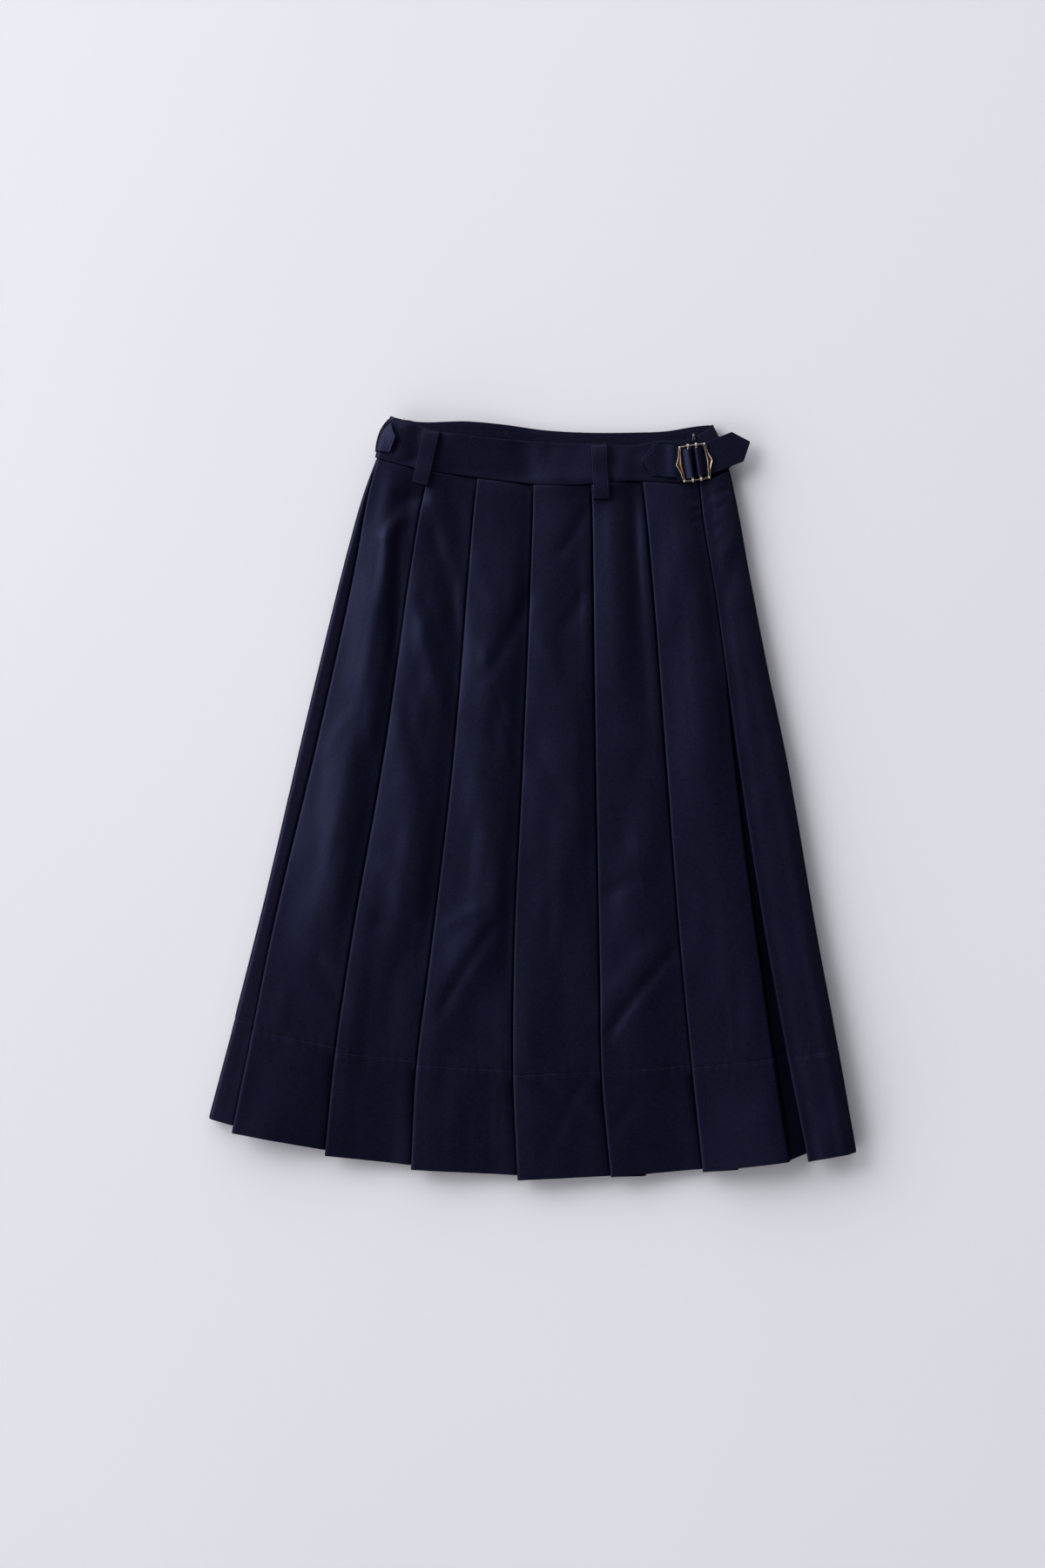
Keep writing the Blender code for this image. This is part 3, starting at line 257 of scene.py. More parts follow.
# Soft ridges (height above 0) and troughs that run across the front
CREASES = (
    # x and y of one end, x and y of the other, how far it bows, its width and its height
    # first left-hand panel
    (-131, 292, -152, 262, 3, 7, 1.8),
    (-106, 315, -143, 305, 0, 9, -1.7),
    (-150, 278, -154, 130, -2, 6, 1.1),
    (-139, 278, -143, 130, -2, 6, -1.7),
    (-182, 90, -214, 36, 4, 7, 0.5),
    (-172, 66, -172, -40, -4, 10, -0.9),
    (-250, -190, -262, -240, 0, 9, 0.8),
    (-222, -160, -190, -230, 3, 8, -0.8),
    # second
    (-106, 292, -72, 128, -5, 9, -2.0),
    (-106, 308, -84, 246, -2, 10, 0.7),
    (-88, 328, -68, 250, 0, 11, -1.3),
    (-115, 215, -76, 104, -2, 7, -1.6),
    (-118, 190, -88, 82, 0, 8, 1.2),
    (-132, 110, -101, -6, 3, 8, -1.2),
    (-166, -126, -116, -134, 0, 9, -1.9),
    (-152, -60, -128, -112, 2, 10, 0.8),
    # third
    (1, 218, -49, 121, -3, 8, -1.8),
    (-52, 158, -22, 64, -2, 7, 1.4),
    (-43, 130, -9, 10, -2, 5, -1.5),
    (-44, 84, -17, 20, 0, 8, -0.6),
    (-60, 250, -30, 190, 2, 8, 0.9),
    (-31, -10, -16, -76, -2, 8, 1.0),
    (-47, -113, -93, -137, 2, 7, 0.9),
    (-30, -122, -97, -228, 3, 7, -1.9),
    # fourth
    (58, 302, 27, 248, -2, 7, -1.2),
    (61, 223, 30, 170, -2, 8, -1.0),
    (8, 180, 44, 90, 3, 9, 0.8),
    (2, 60, 52, -30, 2, 9, -0.8),
    (40, 314, 56, 308, 1, 3, -0.5),
    (22, -100, 17, -157, 0, 7, -0.7),
    # fifth
    (108, 322, 107, 130, 1, 8, -0.9),
    (112, -81, 72, -103, 0, 8, -0.9),
    (113, 50, 110, 20, 0, 10, -0.6),
    (150, -158, 76, -252, 4, 6, -1.9),
    (132, -148, 66, -232, 4, 10, 0.9),
    (56, -288, 26, -353, 2, 7, -0.8),
    (114, -308, 85, -349, 2, 7, -0.8),
    # sixth and seventh
    (211, 22, 186, 5, -1, 3, 0.4),
    (205, -190, 212, -310, 0, 3, 0.25),
    (158, 311, 176, 308, 2, 4, -0.5),
    (166, 296, 178, 300, 1, 3, -0.5),
    (164, 283, 180, 288, -1, 3, -0.4),
    (170, 271, 182, 277, 1, 3, -0.35),
    (182, 312, 206, 320, 1, 5, -0.6),
    (184, 300, 202, 306, 3, 4, -0.6),
    (184, 288, 198, 294, -2, 4, -0.4),
    (188, 272, 202, 286, -2, 5, -0.45),
    (192, 256, 208, 280, 0, 6, -0.45),
    (214, 290, 196, 240, 0, 10, 0.6),
    (212, 260, 202, 200, 0, 7, -0.7),
    (235, 10, 238, -20, 0, 12, 0.8),
    # waistband
    (-133, 388, -131, 350, 0, 12, 1.9),
    (-117, 384, -120, 344, 0, 9, -1.4),
    (-97, 384, -98, 336, 0, 20, 1.4),
    (-90, 382, -15, 374, 0, 15, 2.6),
    (-90, 340, -14, 330, 0, 11, -1.5),
    (-4, 372, -6, 326, 0, 11, -1.6),
    (10, 331, 108, 331, 2, 13, 2.3),
    (8, 366, 108, 364, 0, 10, -1.2),
    (22, 368, 20, 350, 0, 8, -0.5),
    (112, 362, 104, 330, 2, 7, -0.8),
    (92, 346, 120, 344, 0, 7, 0.4),
    # hem zone
    (-215, -360, -130, -372, 0, 24, -1.3),
    (-85, -362, -15, -364, 1, 2, 0.5),
    (-37, -292, -36, -380, 0, 2, 0.3),
)


# ---- curves through the tables ----

def smooth(t):
    t = np.clip(t, 0.0, 1.0)
    return t * t * (3 - 2 * t)


def bump(distance, width):
    return np.exp(-(distance / width) ** 2)


def along(xs, ys, x):
    """A smooth curve through (xs, ys), with each slope taken from its neighbours."""
    xs, ys = np.asarray(xs, float), np.asarray(ys, float)
    slopes = np.gradient(ys, xs)
    x = np.clip(x, xs[0], xs[-1])
    i = np.clip(np.searchsorted(xs, x, side="right") - 1, 0, len(xs) - 2)
    h = xs[i + 1] - xs[i]
    t = (x - xs[i]) / h
    return ((1 + 2 * t) * (1 - t) ** 2 * ys[i] + t * (1 - t) ** 2 * h * slopes[i]
            + t * t * (3 - 2 * t) * ys[i + 1] + t * t * (t - 1) * h * slopes[i + 1])


def eased(xs, ys, x, reach):
    """Straight runs through (xs, ys) with their corners rounded over reach."""
    return np.mean([np.interp(x + step * reach, xs, ys) for step in np.linspace(-1, 1, 9)], axis=0)


def column(table, columns, name):
    return [row[columns.index(name)] for row in table]


def section(name, share):
    rows = [row for row in SECTIONS if (row[0] <= 0 if share < 0 else row[0] >= 0)]
    shares, values = column(rows, SECTION_COLUMNS, "share"), column(rows, SECTION_COLUMNS, name)
    if name in ("left", "right"):
        return float(along(shares, values, share))
    return float(np.interp(share, shares, values))


def edge_y(edge, x):
    return along([p[0] for p in edge], [p[1] for p in edge], x)


def wall(share):
    return CLOTH + (HEM_CLOTH - CLOTH) * smooth((share - HEM_START + 0.015) / 0.02)


def tuck(share):
    return TUCK_AT_WAIST + (TUCK_AT_HEM - TUCK_AT_WAIST) * share


def relief(x, y):
    """Height of the front's creases at (x, y)."""
    height = np.zeros_like(x)
    for x0, y0, x1, y1, bow, width, rise in CREASES:
        run = np.array([x1 - x0, y1 - y0], float)
        length = np.hypot(*run)
        ex, ey = run / length
        t = ((x - x0) * ex + (y - y0) * ey) / length
        off = (x - x0) * ey - (y - y0) * ex
        off = off - bow * np.sin(math.pi * np.clip(t, 0, 1))
        ends = smooth(t / 0.3 + 0.35) * smooth((1 - t) / 0.3 + 0.35)
        height += rise * ends * bump(off, width)
    # the cloth is never quite even
    wobble = np.sin(x / 31.0 + 1.3 * np.sin(y / 57.0)) * np.sin(y / 83.0 + 0.9 * np.sin(x / 44.0))
    fine = np.sin(x / 13.0 + 2.0 * np.sin(y / 29.0)) * np.sin(y / 37.0 + x / 61.0)
    return height + 0.30 * wobble + 0.10 * fine + rumple(x, y)


def rumple(x, y):
    """Faint slanting creases both ways, in patches."""
    falling = np.sin((0.75 * x + 0.66 * y) / 9.0 + 2.2 * np.sin(y / 23.0 + x / 37.0))
    falling *= smooth(0.4 + 0.8 * np.sin(x / 53.0 + 1.7 * np.sin(y / 61.0)))
    rising = np.sin((0.85 * x - 0.53 * y) / 8.0 + 2.0 * np.sin(x / 19.0 + y / 41.0))
    rising *= smooth(0.4 + 0.8 * np.sin(y / 67.0 + x / 47.0 + 1.0))
    return 0.30 * falling + 0.24 * rising


# ---- the lying tube ----

class Ring:
    """The flattened tube at one share: its outer line, walked from the left side over the front."""

    STEP = 1.0

    def __init__(self, share):
        left, right = section("left", share), section("right", share)
        lift, knoll = section("lift", share), section("knoll", share)
        side, crown = section("side", share), section("crown", share)
        r = side / 2

        def under(x):
            return lift + knoll * smooth((KNOLL_END - x) / KNOLL_SLOPE)

        xs = np.arange(left + r, right - r, self.STEP)
        near_left, near_right = xs - left - r, right - r - xs
        rise = np.minimum(np.minimum(near_left, near_right) / FRONT_REACH, 1)
        foot = np.where(near_left < near_right, under(left + r), under(right - r)) + side
        peak = crown + KNOLL_SHARE * (under(xs) - lift)
        top = foot + (peak - foot) * (1 - (1 - rise) ** 2)
        left_mid = np.array([left + r, under(left + r) + r])
        right_mid = np.array([right - r, under(right - r) + r])
        quarter = np.linspace(0, math.pi / 2, 9)[:-1]
        half = np.linspace(math.pi / 2, -math.pi / 2, 17)
        back = xs[::-1]

        def arc(middle, angles, way):
            return middle + r * np.stack([way * np.cos(angles), np.sin(angles)], axis=1)

        points = np.vstack([
            arc(left_mid, quarter, -1), np.stack([xs, top], axis=1), arc(right_mid, half, 1),
            np.stack([back, under(back)], axis=1), arc(left_mid, -quarter[::-1], -1),
        ])
        turn = np.concatenate([
            0.5 + 0.5 * np.sin(quarter), np.ones(len(xs)), 0.5 + 0.5 * np.sin(half),
            np.zeros(len(xs)), 0.5 - 0.5 * np.sin(quarter[::-1]),
        ])
        closed = np.vstack([points, points[:1]])
        lengths = np.concatenate([[0], np.cumsum(np.linalg.norm(np.diff(closed, axis=0), axis=1))])
        count = int(lengths[-1] / self.STEP)
        self.s = np.linspace(0, lengths[-1], count, endpoint=False)
        line = np.stack([np.interp(self.s, lengths, closed[:, i]) for i in (0, 1)], axis=1)
        for _ in range(2):
            line = (np.roll(line, 1, 0) + line + np.roll(line, -1, 0)) / 3
        tangent = np.roll(line, -1, 0) - np.roll(line, 1, 0)
        tangent /= np.linalg.norm(tangent, axis=1)[:, None]
        self.line = line
        self.out = np.stack([-tangent[:, 1], tangent[:, 0]], axis=1)
        self.length = lengths[-1]
        self.front = np.interp(self.s, lengths[:-1], turn)
        self.left, self.right, self.r = left, right, r
        self.side_arc = math.pi * r
        self.right_start = self.at_front(right - r)
        self.left_start = self.length - math.pi / 2 * r

    def at_front(self, x):
        """How far round the front's point at x is."""
        top = int(np.argmax(self.line[:, 0]))
        return np.interp(x, self.line[:top, 0], self.s[:top])

    def at_back(self, x):
        top = int(np.argmax(self.line[:, 0]))
        return np.interp(-x, -self.line[top:, 0], self.s[top:])

    def read(self, values, s):
        return np.interp(np.mod(s, self.length), self.s, values, period=self.length)

    def base(self, s):
        """(x, z, out x, out z, share of front) at s."""
        columns = (self.line[:, 0], self.line[:, 1], self.out[:, 0], self.out[:, 1], self.front)
        return np.stack([self.read(values, s) for values in columns], axis=-1)

    def edge(self, s, front_edge, back_edge):
        x, f = self.read(self.line[:, 0], s), self.read(self.front, s)
        return f * edge_y(front_edge, x) + (1 - f) * edge_y(back_edge, x)

    def height(self, x):
        """The front's outer height at x."""
        return self.read(self.line[:, 1], self.at_front(x))


@lru_cache(maxsize=None)
def ring(share):
    return Ring(share)


def fold_place(k, share):
    """How far round fold k lies; 0 to 6 are on the front, 7 to 13 on the back."""
    if k < len(FRONT_FOLDS):
        return float(ring(share).at_front(along(FOLD_SHARES, FRONT_FOLDS[k][0], share)))
    waist_x, hem_x = BACK_FOLDS[k - len(FRONT_FOLDS)][:2]
    return float(ring(share).at_back(waist_x + (hem_x - waist_x) * share))


def fold_hem(k):
    """The y of fold k's corner at the hem, and of the neighbour tucked under it."""
    if k < len(FRONT_FOLDS):
        return FRONT_FOLDS[k][1:]
    return BACK_FOLDS[k - len(FRONT_FOLDS)][2:]


# ---- meshes ----

def new_piece(name, points, faces, look, uv=None):
    """A smooth mesh piece from points in millimetres; uv is one (u, v) in metres for each point."""
    mesh = bpy.data.meshes.new(name)
    mesh.from_pydata((np.asarray(points) * MM).tolist(), [], np.asarray(faces).tolist())
    if uv is not None:
        layer = mesh.uv_layers.new(name="grain")
        corners = np.empty(len(mesh.loops), dtype=np.int32)
        mesh.loops.foreach_get("vertex_index", corners)
        layer.data.foreach_set("uv", np.asarray(uv, dtype=np.float32)[corners].ravel())
    mesh.materials.append(look)
    mesh.shade_smooth()
    piece = bpy.data.objects.new(name, mesh)
    bpy.context.scene.collection.objects.link(piece)
    return piece


def normals_of(middle):
    normal = np.cross(np.gradient(middle, axis=1), np.gradient(middle, axis=0))
    return normal / np.maximum(np.linalg.norm(normal, axis=2, keepdims=True), 1e-9)


def sheet_mesh(name, middle, half, uv, look):
    """A closed sheet about a grid of middle points. half is its half thickness, nil at the rim."""
    rows, columns = middle.shape[:2]
    half = np.array(np.broadcast_to(half, (rows, columns)))
    half[[0, -1]] = 0
    half[:, [0, -1]] = 0
    normal = normals_of(middle)
    top, low = middle + normal * half[..., None], middle - normal * half[..., None]
    above = np.arange(rows * columns).reshape(rows, columns)
    below = above.copy()
    below[1:-1, 1:-1] = rows * columns + np.arange((rows - 2) * (columns - 2)).reshape(rows - 2, -1)
    points = np.vstack([top.reshape(-1, 3), low[1:-1, 1:-1].reshape(-1, 3)])
    grain = np.vstack([uv.reshape(-1, 2), uv[1:-1, 1:-1].reshape(-1, 2)])
    faces = []
    for index, order in ((above, (0, 1, 2, 3)), (below, (3, 2, 1, 0))):
        corners = (index[:-1, :-1], index[:-1, 1:], index[1:, 1:], index[1:, :-1])
        faces.append(np.stack([corners[i] for i in order], axis=-1).reshape(-1, 4))
    return new_piece(name, points, np.vstack(faces), look, grain * MM)


def rounded(distance, radius, thickness):
    """Half thickness of a sheet at a distance from its rim, which is round."""
    t = np.clip(distance / radius, 0, 1)
    return thickness / 2 * np.sqrt(np.maximum(1 - (1 - t) ** 2, 0))


def spread(count, length, rim):
    """Places from 0 to length: close together over each rim, then even."""
    ends = rim * np.array([0.0, 0.12, 0.35, 0.7])
    return np.concatenate([ends, np.linspace(rim, length - rim, count), length - ends[::-1]])


# ---- finishes ----

def linear(hex_code):
    """sRGB hex to linear RGBA."""
    values = [int(hex_code[i:i + 2], 16) / 255 for i in (0, 2, 4)]
    return (*[v / 12.92 if v <= 0.04045 else ((v + 0.055) / 1.055) ** 2.4 for v in values], 1.0)


def set_up(tree, node, links=None, **settings):
    """settings are the node's properties, or input values after in_; links are inputs' sources."""
    for name, value in settings.items():
        if name.startswith("in_"):
            key = name[3:]
            node.inputs[int(key) if key.isdigit() else key.replace("_", " ")].default_value = value
        else:
            setattr(node, name, value)
    for key, source in (links or {}).items():
        tree.links.new(source, node.inputs[key])
    return node


def add_node(tree, kind, links=None, **settings):
    return set_up(tree, tree.nodes.new(kind), links, **settings)


def maths(tree, operation, *terms):
    """The result of a math node, whose terms are sockets or floats."""
    links = {i: term for i, term in enumerate(terms) if not isinstance(term, float)}
    numbers = {f"in_{i}": term for i, term in enumerate(terms) if isinstance(term, float)}
    return add_node(tree, "ShaderNodeMath", links, operation=operation, **numbers).outputs[0]


def remap(tree, value, low, high, start=0.0, end=1.0):
    """low where the value is start, high where it is end."""
    return add_node(tree, "ShaderNodeMapRange", {"Value": value}, in_From_Min=start, in_From_Max=end,
                    in_To_Min=low, in_To_Max=high).outputs["Result"]


def noise(tree, at, scale, detail, roughness=0.5):
    return add_node(tree, "ShaderNodeTexNoise", {"Vector": at}, in_Scale=scale, in_Detail=detail,
                    in_Roughness=roughness).outputs["Fac"]


def shade_between(tree, factor, dark, light):
    """A colour between two hex codes."""
    return add_node(tree, "ShaderNodeMix", {"Factor": factor}, data_type="RGBA", in_A=linear(dark),
                    in_B=linear(light)).outputs["Result"]


def place_on(tree, kind):
    """Places on the piece: its Object coordinates, or its UV map, in metres along the grain."""
    return add_node(tree, "ShaderNodeTexCoord").outputs[kind]


def new_look(name):
    look = bpy.data.materials.new(name)
    look.use_nodes = True
    return look, look.node_tree, look.node_tree.nodes["Principled BSDF"]


THREAD = 1.1                    # spacing of the yarns: twice the real one, so that it shows
SLUB = 1.8                      # width of an uneven yarn: some four real ones, so that it shows
SLUB_LENGTH = 6.0
PATCH = (45.0, 70.0)            # size of the patches where the whole cloth is a shade off
PATCH_SHARE = 0.4
TONE_RANGE = (0.87, 1.53)       # the yarns' and patches' sum, from darkest to lightest
TURN_RANGE = (0.04, 0.36)       # how far the cloth turns away as its shine goes
SHINE, SHINE_LEFT = 0.36, 0.02
NAVY_SHINE = (0.40, 0.44, 1.0, 1.0)
WARP_SPACING = 2 * math.pi / (THREAD * MM)


def woven(name, dark, light, shine=1.0):
    """Navy cloth: a plain weave of uneven yarns, with a soft blue shine that its slopes lose."""
    look, tree, shader = new_look(name)
    where = place_on(tree, "UV")

    def streaks(width, length):
        at = add_node(tree, "ShaderNodeMapping", {"Vector": where},
                      in_Scale=(1 / (width * MM), 1 / (length * MM), 1.0))
        return noise(tree, at.outputs["Vector"], 1.0, 2.0, 0.55)

    yarn = maths(tree, "ADD", streaks(SLUB, SLUB_LENGTH), streaks(SLUB_LENGTH, SLUB))
    cloudy = maths(tree, "MULTIPLY_ADD", streaks(*PATCH), PATCH_SHARE, yarn)
    tone = remap(tree, cloudy, 0.0, 1.0, *TONE_RANGE)

    split = add_node(tree, "ShaderNodeSeparateXYZ", {"Vector": where})
    waves = [maths(tree, "SINE", maths(tree, "MULTIPLY", split.outputs[axis], WARP_SPACING))
             for axis in ("X", "Y")]
    raised = maths(tree, "MULTIPLY_ADD", maths(tree, "MULTIPLY", *waves), 0.10, yarn)
    surface = add_node(tree, "ShaderNodeBump", {"Height": raised}, in_Strength=0.17, in_Distance=0.45 * MM)
    # fibres that stand up hide the shine where the cloth turns away
    turned = add_node(tree, "ShaderNodeLayerWeight", in_Blend=0.5).outputs["Facing"]
    left = remap(tree, turned, SHINE * shine, SHINE_LEFT, *TURN_RANGE)
    set_up(tree, shader,
           {"Base Color": shade_between(tree, tone, dark, light), "Normal": surface.outputs["Normal"],
            "Specular IOR Level": left},
           in_Roughness=0.48, in_Specular_Tint=NAVY_SHINE)
    return look


def thread_look():
    """Polyester sewing thread: a shade paler than the cloth, with a faint twist."""
    look, tree, shader = new_look("polyester_sewing_thread")
    twist = noise(tree, place_on(tree, "Object"), 900.0, 1.0)
    set_up(tree, shader, {"Base Color": shade_between(tree, twist, "14182f", "2b2f4e")},
           in_Roughness=0.6, in_Specular_IOR_Level=0.3, in_Specular_Tint=NAVY_SHINE)
    return look


def antique_look():
    """Cast zinc plated antique silver: brown in its hollows, rubbed to bright metal on its rims."""
    look, tree, shader = new_look("antique_silver_plated_zinc")
    rubbed = add_node(tree, "ShaderNodeAttribute", attribute_name="rubbed").outputs["Fac"]
    mottle = noise(tree, place_on(tree, "Object"), 700.0, 4.0)
    bright = remap(tree, maths(tree, "MULTIPLY_ADD", mottle, 0.5, rubbed), 0.0, 1.0, 0.45, 0.95)
    pits = add_node(tree, "ShaderNodeBump", {"Height": mottle}, in_Strength=0.25, in_Distance=0.1 * MM)
    set_up(tree, shader,
           {"Base Color": shade_between(tree, bright, "5a3c24", "b4aba2"),
            "Roughness": remap(tree, bright, 0.42, 0.24), "Normal": pits.outputs["Normal"]},
           in_Metallic=1.0)
    return look


def zip_metal_look():
    """Nickel-plated brass: satin, with fine scratches."""
    look, tree, shader = new_look("nickel_plated_brass")
    at = add_node(tree, "ShaderNodeMapping", {"Vector": place_on(tree, "Object")},
                  in_Scale=(3000.0, 300.0, 3000.0))
    scratch = noise(tree, at.outputs["Vector"], 1.0, 3.0)
    set_up(tree, shader,
           {"Base Color": shade_between(tree, scratch, "2c2f36", "6c717c"),
            "Roughness": remap(tree, scratch, 0.2, 0.4)},
           in_Metallic=1.0)
    return look


WORSTED = woven("navy_worsted_suiting", "04050a", "0d0f22")
TAPE = woven("woven_polyester_zip_tape", "080a16", "10132a", 0.6)
THREAD_LOOK = thread_look()
ANTIQUE = antique_look()
ZIP_METAL = zip_metal_look()


# ---- gores ----

def gape(name, share):
    shares = column(GAPE, GAPE_COLUMNS, "share")
    return float(np.interp(share, shares, column(GAPE, GAPE_COLUMNS, name)))


def panel_stations(k, share, start, end, pitch):
    """(place, sink) of the open part of gore k, where sink 1 is two layers down."""
    here = ring(share)
    if k == ZIP_FOLD - 1:  # the panel that ends at the zip and, below it, at the gap
        width, depth = gape("width", share), gape("depth", share)
        lip = end - width
        gap_sink = 1 + depth / (2 * pitch)
        sewn = 1 - smooth((share - ZIP_END + 0.02) / 0.05)
        return [
            (start + 0.35 * (lip - start), 0.05),
            (start + 0.7 * (lip - start), 0.12 - 0.05 * sewn),
            (lip - 5.0, 0.2 - 0.12 * sewn),
            (lip - 2.6 + 0.8 * sewn, 0.3 - 0.2 * sewn),
            (lip - 1.9 + 0.6 * sewn + 0.08 * width, 0.3 + 0.5 * gap_sink - 0.2 * sewn),
            (lip - 0.6 + 0.16 * width, gap_sink),
        ]
    if k == ZIP_FOLD:  # round the right side
        first = here.right_start
        return [(max(first, start + 2.0) + here.side_arc, 0.0), (end - 3.0, 0.1)]
    if k == FOLD_COUNT - 1:  # round the left side
        first = here.left_start - here.r * math.pi / 2
        arc = min(here.side_arc, end - first - 3.0)
        stations = [(start + 0.6 * (first - start), 0.0)]
        stations += [(first + i / 5 * arc, sink) for i, sink in enumerate(LEFT_SINK)]
        return stations + [(end - 1.8, 0.92)]
    if k < ZIP_FOLD:
        return [(start + f * (end - start), smooth(f)) for f in (0.12, 0.25, 0.38, 0.5, 0.64, 0.78, 0.9)]
    return [(end - 8.0, 0.0), (end - 3.0, 0.25)]


UNDER_COLUMNS = 6
ARC_COLUMNS = 9
TUCK_COLUMNS = 12
FOLD_REACH = 0.40      # how far a pressed edge takes to turn
HEM_SLOT = (1.8, 6.0)  # how deep a panel sinks beside the next fold in the hem, and how far from it
SIDE_START = 16.0      # how far from the zip's fold the side's swelling begins
GUTTER = (1.5, 1.8)    # and the same for the narrow gutter all along that fold


def panel_places(k, here, share, first, last, pitch, detail):
    """Where the columns of the panel lie: closer together where it turns."""
    start = first + pitch / 2
    if k == ZIP_FOLD - 1:
        lip = last - gape("width", share) - 9.0
        marks, counts = (start, lip, last), (detail, 24)
    elif k == ZIP_FOLD:
        side = max(here.right_start, start + 2.0)
        marks, counts = (start, side, side + here.side_arc, last), (detail // 2, 22, detail // 3)
    elif k == FOLD_COUNT - 1:
        side = here.left_start - here.r * math.pi / 2
        arc = min(here.side_arc, last - side - 3.0)
        marks = (start, side, side + arc, max(last - 5.0, side + arc + 1.0), last)
        counts = (detail // 2, 24, detail // 3, 8)
    else:
        marks, counts = (start, last - 5.0, last), (detail, 10)
    places = [np.linspace(a, b, n, endpoint=False) for a, b, n in zip(marks, marks[1:], counts)]
    return np.concatenate([p[1:] if i == 0 else p for i, p in enumerate(places)])


def panel_form(k, share):
    """Heights of front panel k at its folded edge, across it and at the next fold."""
    shares = column(PANEL_FORMS[k], FORM_COLUMNS, "share")
    heights = [float(along(shares, column(PANEL_FORMS[k], FORM_COLUMNS, name), share))
               for name in FORM_COLUMNS[1:]]
    return heights + [min(heights[-1], 0.0)]


def side_form(table, distance):
    return along(column(table, SIDE_COLUMNS, "distance"), column(table, SIDE_COLUMNS, "height"), distance)


FORM_PLACES = (0.0, *FORM_COLUMNS[2:], 1.0)


def gore_line(k, share, detail):
    """The middle line of gore k at one share, as places and depths, from its hidden inner edge."""
    here = ring(share)
    first, last = fold_place(k, share), fold_place((k + 1) % FOLD_COUNT, share)
    if last < first:
        last += here.length
    t, d = wall(share), tuck(share)
    pitch = t + LAYER_GAP
    mid = t / 2
    floor = mid + 2 * pitch
    sunk = floor + (gape("depth", share) if k == ZIP_FOLD - 1 else 0.0)
    under = np.linspace(first + d, first + FOLD_REACH, UNDER_COLUMNS)
    angles = np.linspace(-math.pi / 2, math.pi / 2, ARC_COLUMNS + 2)[1:-1]
    arc = first + FOLD_REACH * (1 - np.cos(angles))
    panel = panel_places(k, here, share, first, last, pitch, detail)
    tucked = last + d * np.linspace(0, 1, TUCK_COLUMNS) ** 1.8
    stations = [(first + d, 0.0)] + panel_stations(k, share, first + d, last, pitch)
    places, sinks = np.array(stations).T
    reach = 0.6 if k == ZIP_FOLD - 1 else 3.0
    places = np.append(places, last + 1.0)
    depths = np.append(mid + 2 * pitch * sinks, sunk)
    panel_depth = eased(places, depths, panel, reach)
    tucked_depth = eased([last, last + d], [sunk, floor], tucked, 2.0)
    form = panel_form(k, share) if k < ZIP_FOLD else [0.0]
    if k < ZIP_FOLD:
        panel_depth -= along(FORM_PLACES, form, (panel - first) / (last - first))
        tucked_depth -= form[-1] * (1 - (tucked - last) / d)
    elif k == ZIP_FOLD:
        swell = side_form(RIGHT_SIDE_FORM, here.right_start + here.r - panel) * (0.55 + 1.6 * share)
        panel_depth -= swell * smooth((panel - first) / SIDE_START)
    elif k == FOLD_COUNT - 1:
        panel_depth -= side_form(LEFT_SIDE_FORM, panel - here.length)
    if k < ZIP_FOLD - 1:
        slot = HEM_SLOT[0] * smooth((share - HEM_START - 0.004) / 0.012)
        slot *= 1 - 0.7 * smooth((share - HEM_START - 0.02) / 0.1)
        panel_depth += slot * bump(last - panel, HEM_SLOT[1])
        tucked_depth += slot * bump(tucked - last, HEM_SLOT[1])
    if k not in (ZIP_FOLD - 1, ZIP_FOLD):
        panel_depth += GUTTER[0] * smooth(share / 0.03) * bump(last - panel, GUTTER[1])
        tucked_depth += GUTTER[0] * smooth(share / 0.03) * bump(tucked - last, GUTTER[1])
    place = np.concatenate([under, arc, panel, tucked])
    under_depth = mid + pitch - form[0] * (1 - (under - first) / d)
    arc_depth = mid + pitch / 2 - pitch / 2 * np.sin(angles) - form[0]
    depth = np.concatenate([under_depth, arc_depth, panel_depth, tucked_depth])
    return place, depth, first, last


def gore_hem(k, place, first, last):
    """The y of gore k's hem at each of its columns."""
    corner, before = fold_hem(k)
    tucked = fold_hem((k + 1) % FOLD_COUNT)[1]
    hidden = corner + (before - corner) * np.clip((place - first) / tuck(1.0), 0, 1)
    stops = [(first, corner), (last, tucked)]
    if k == ZIP_FOLD - 1:
        stops.insert(1, (last - gape("width", 1.0), GAPE_HEM))
    if k == ZIP_FOLD:
        stops.insert(1, (ring(1.0).right_start + ring(1.0).side_arc / 2, RIGHT_SIDE_HEM))
    if k == FOLD_COUNT - 1:
        stops.insert(1, (ring(1.0).length, LEFT_SIDE_HEM))
    shown = np.interp(place, [s[0] for s in stops], [s[1] for s in stops])
    return np.where(np.arange(len(place)) < UNDER_COLUMNS, hidden, shown)


HEM_SAG = 9.0
SAG_ENDS = (-295.0, 265.0)             # the x where the sag ends, left and right
SAG_FADE = 110.0


def hem_sag(x, share):
    """How far the front settles towards the hem, most in the middle."""
    down = 0.25 * smooth((share - 0.72) / 0.14) + 0.75 * np.clip((share - HEM_START) / 0.14, 0, 1)
    to_end = np.minimum(x - SAG_ENDS[0], SAG_ENDS[1] - x)
    return HEM_SAG * down * smooth(to_end / SAG_FADE)


HEM_BEND = (HEM_CLOTH - PLY) / 2       # radius of the turn at the hem
SEAM_DIP = (0.4, 1.3)                  # depth and reach of the groove along the waist seam
HEM_DIP = (0.5, 1.4)                   # and along the hem stitching
HEM_PUCKER = (0.16, 7.0)               # height and reach of the puckers along it


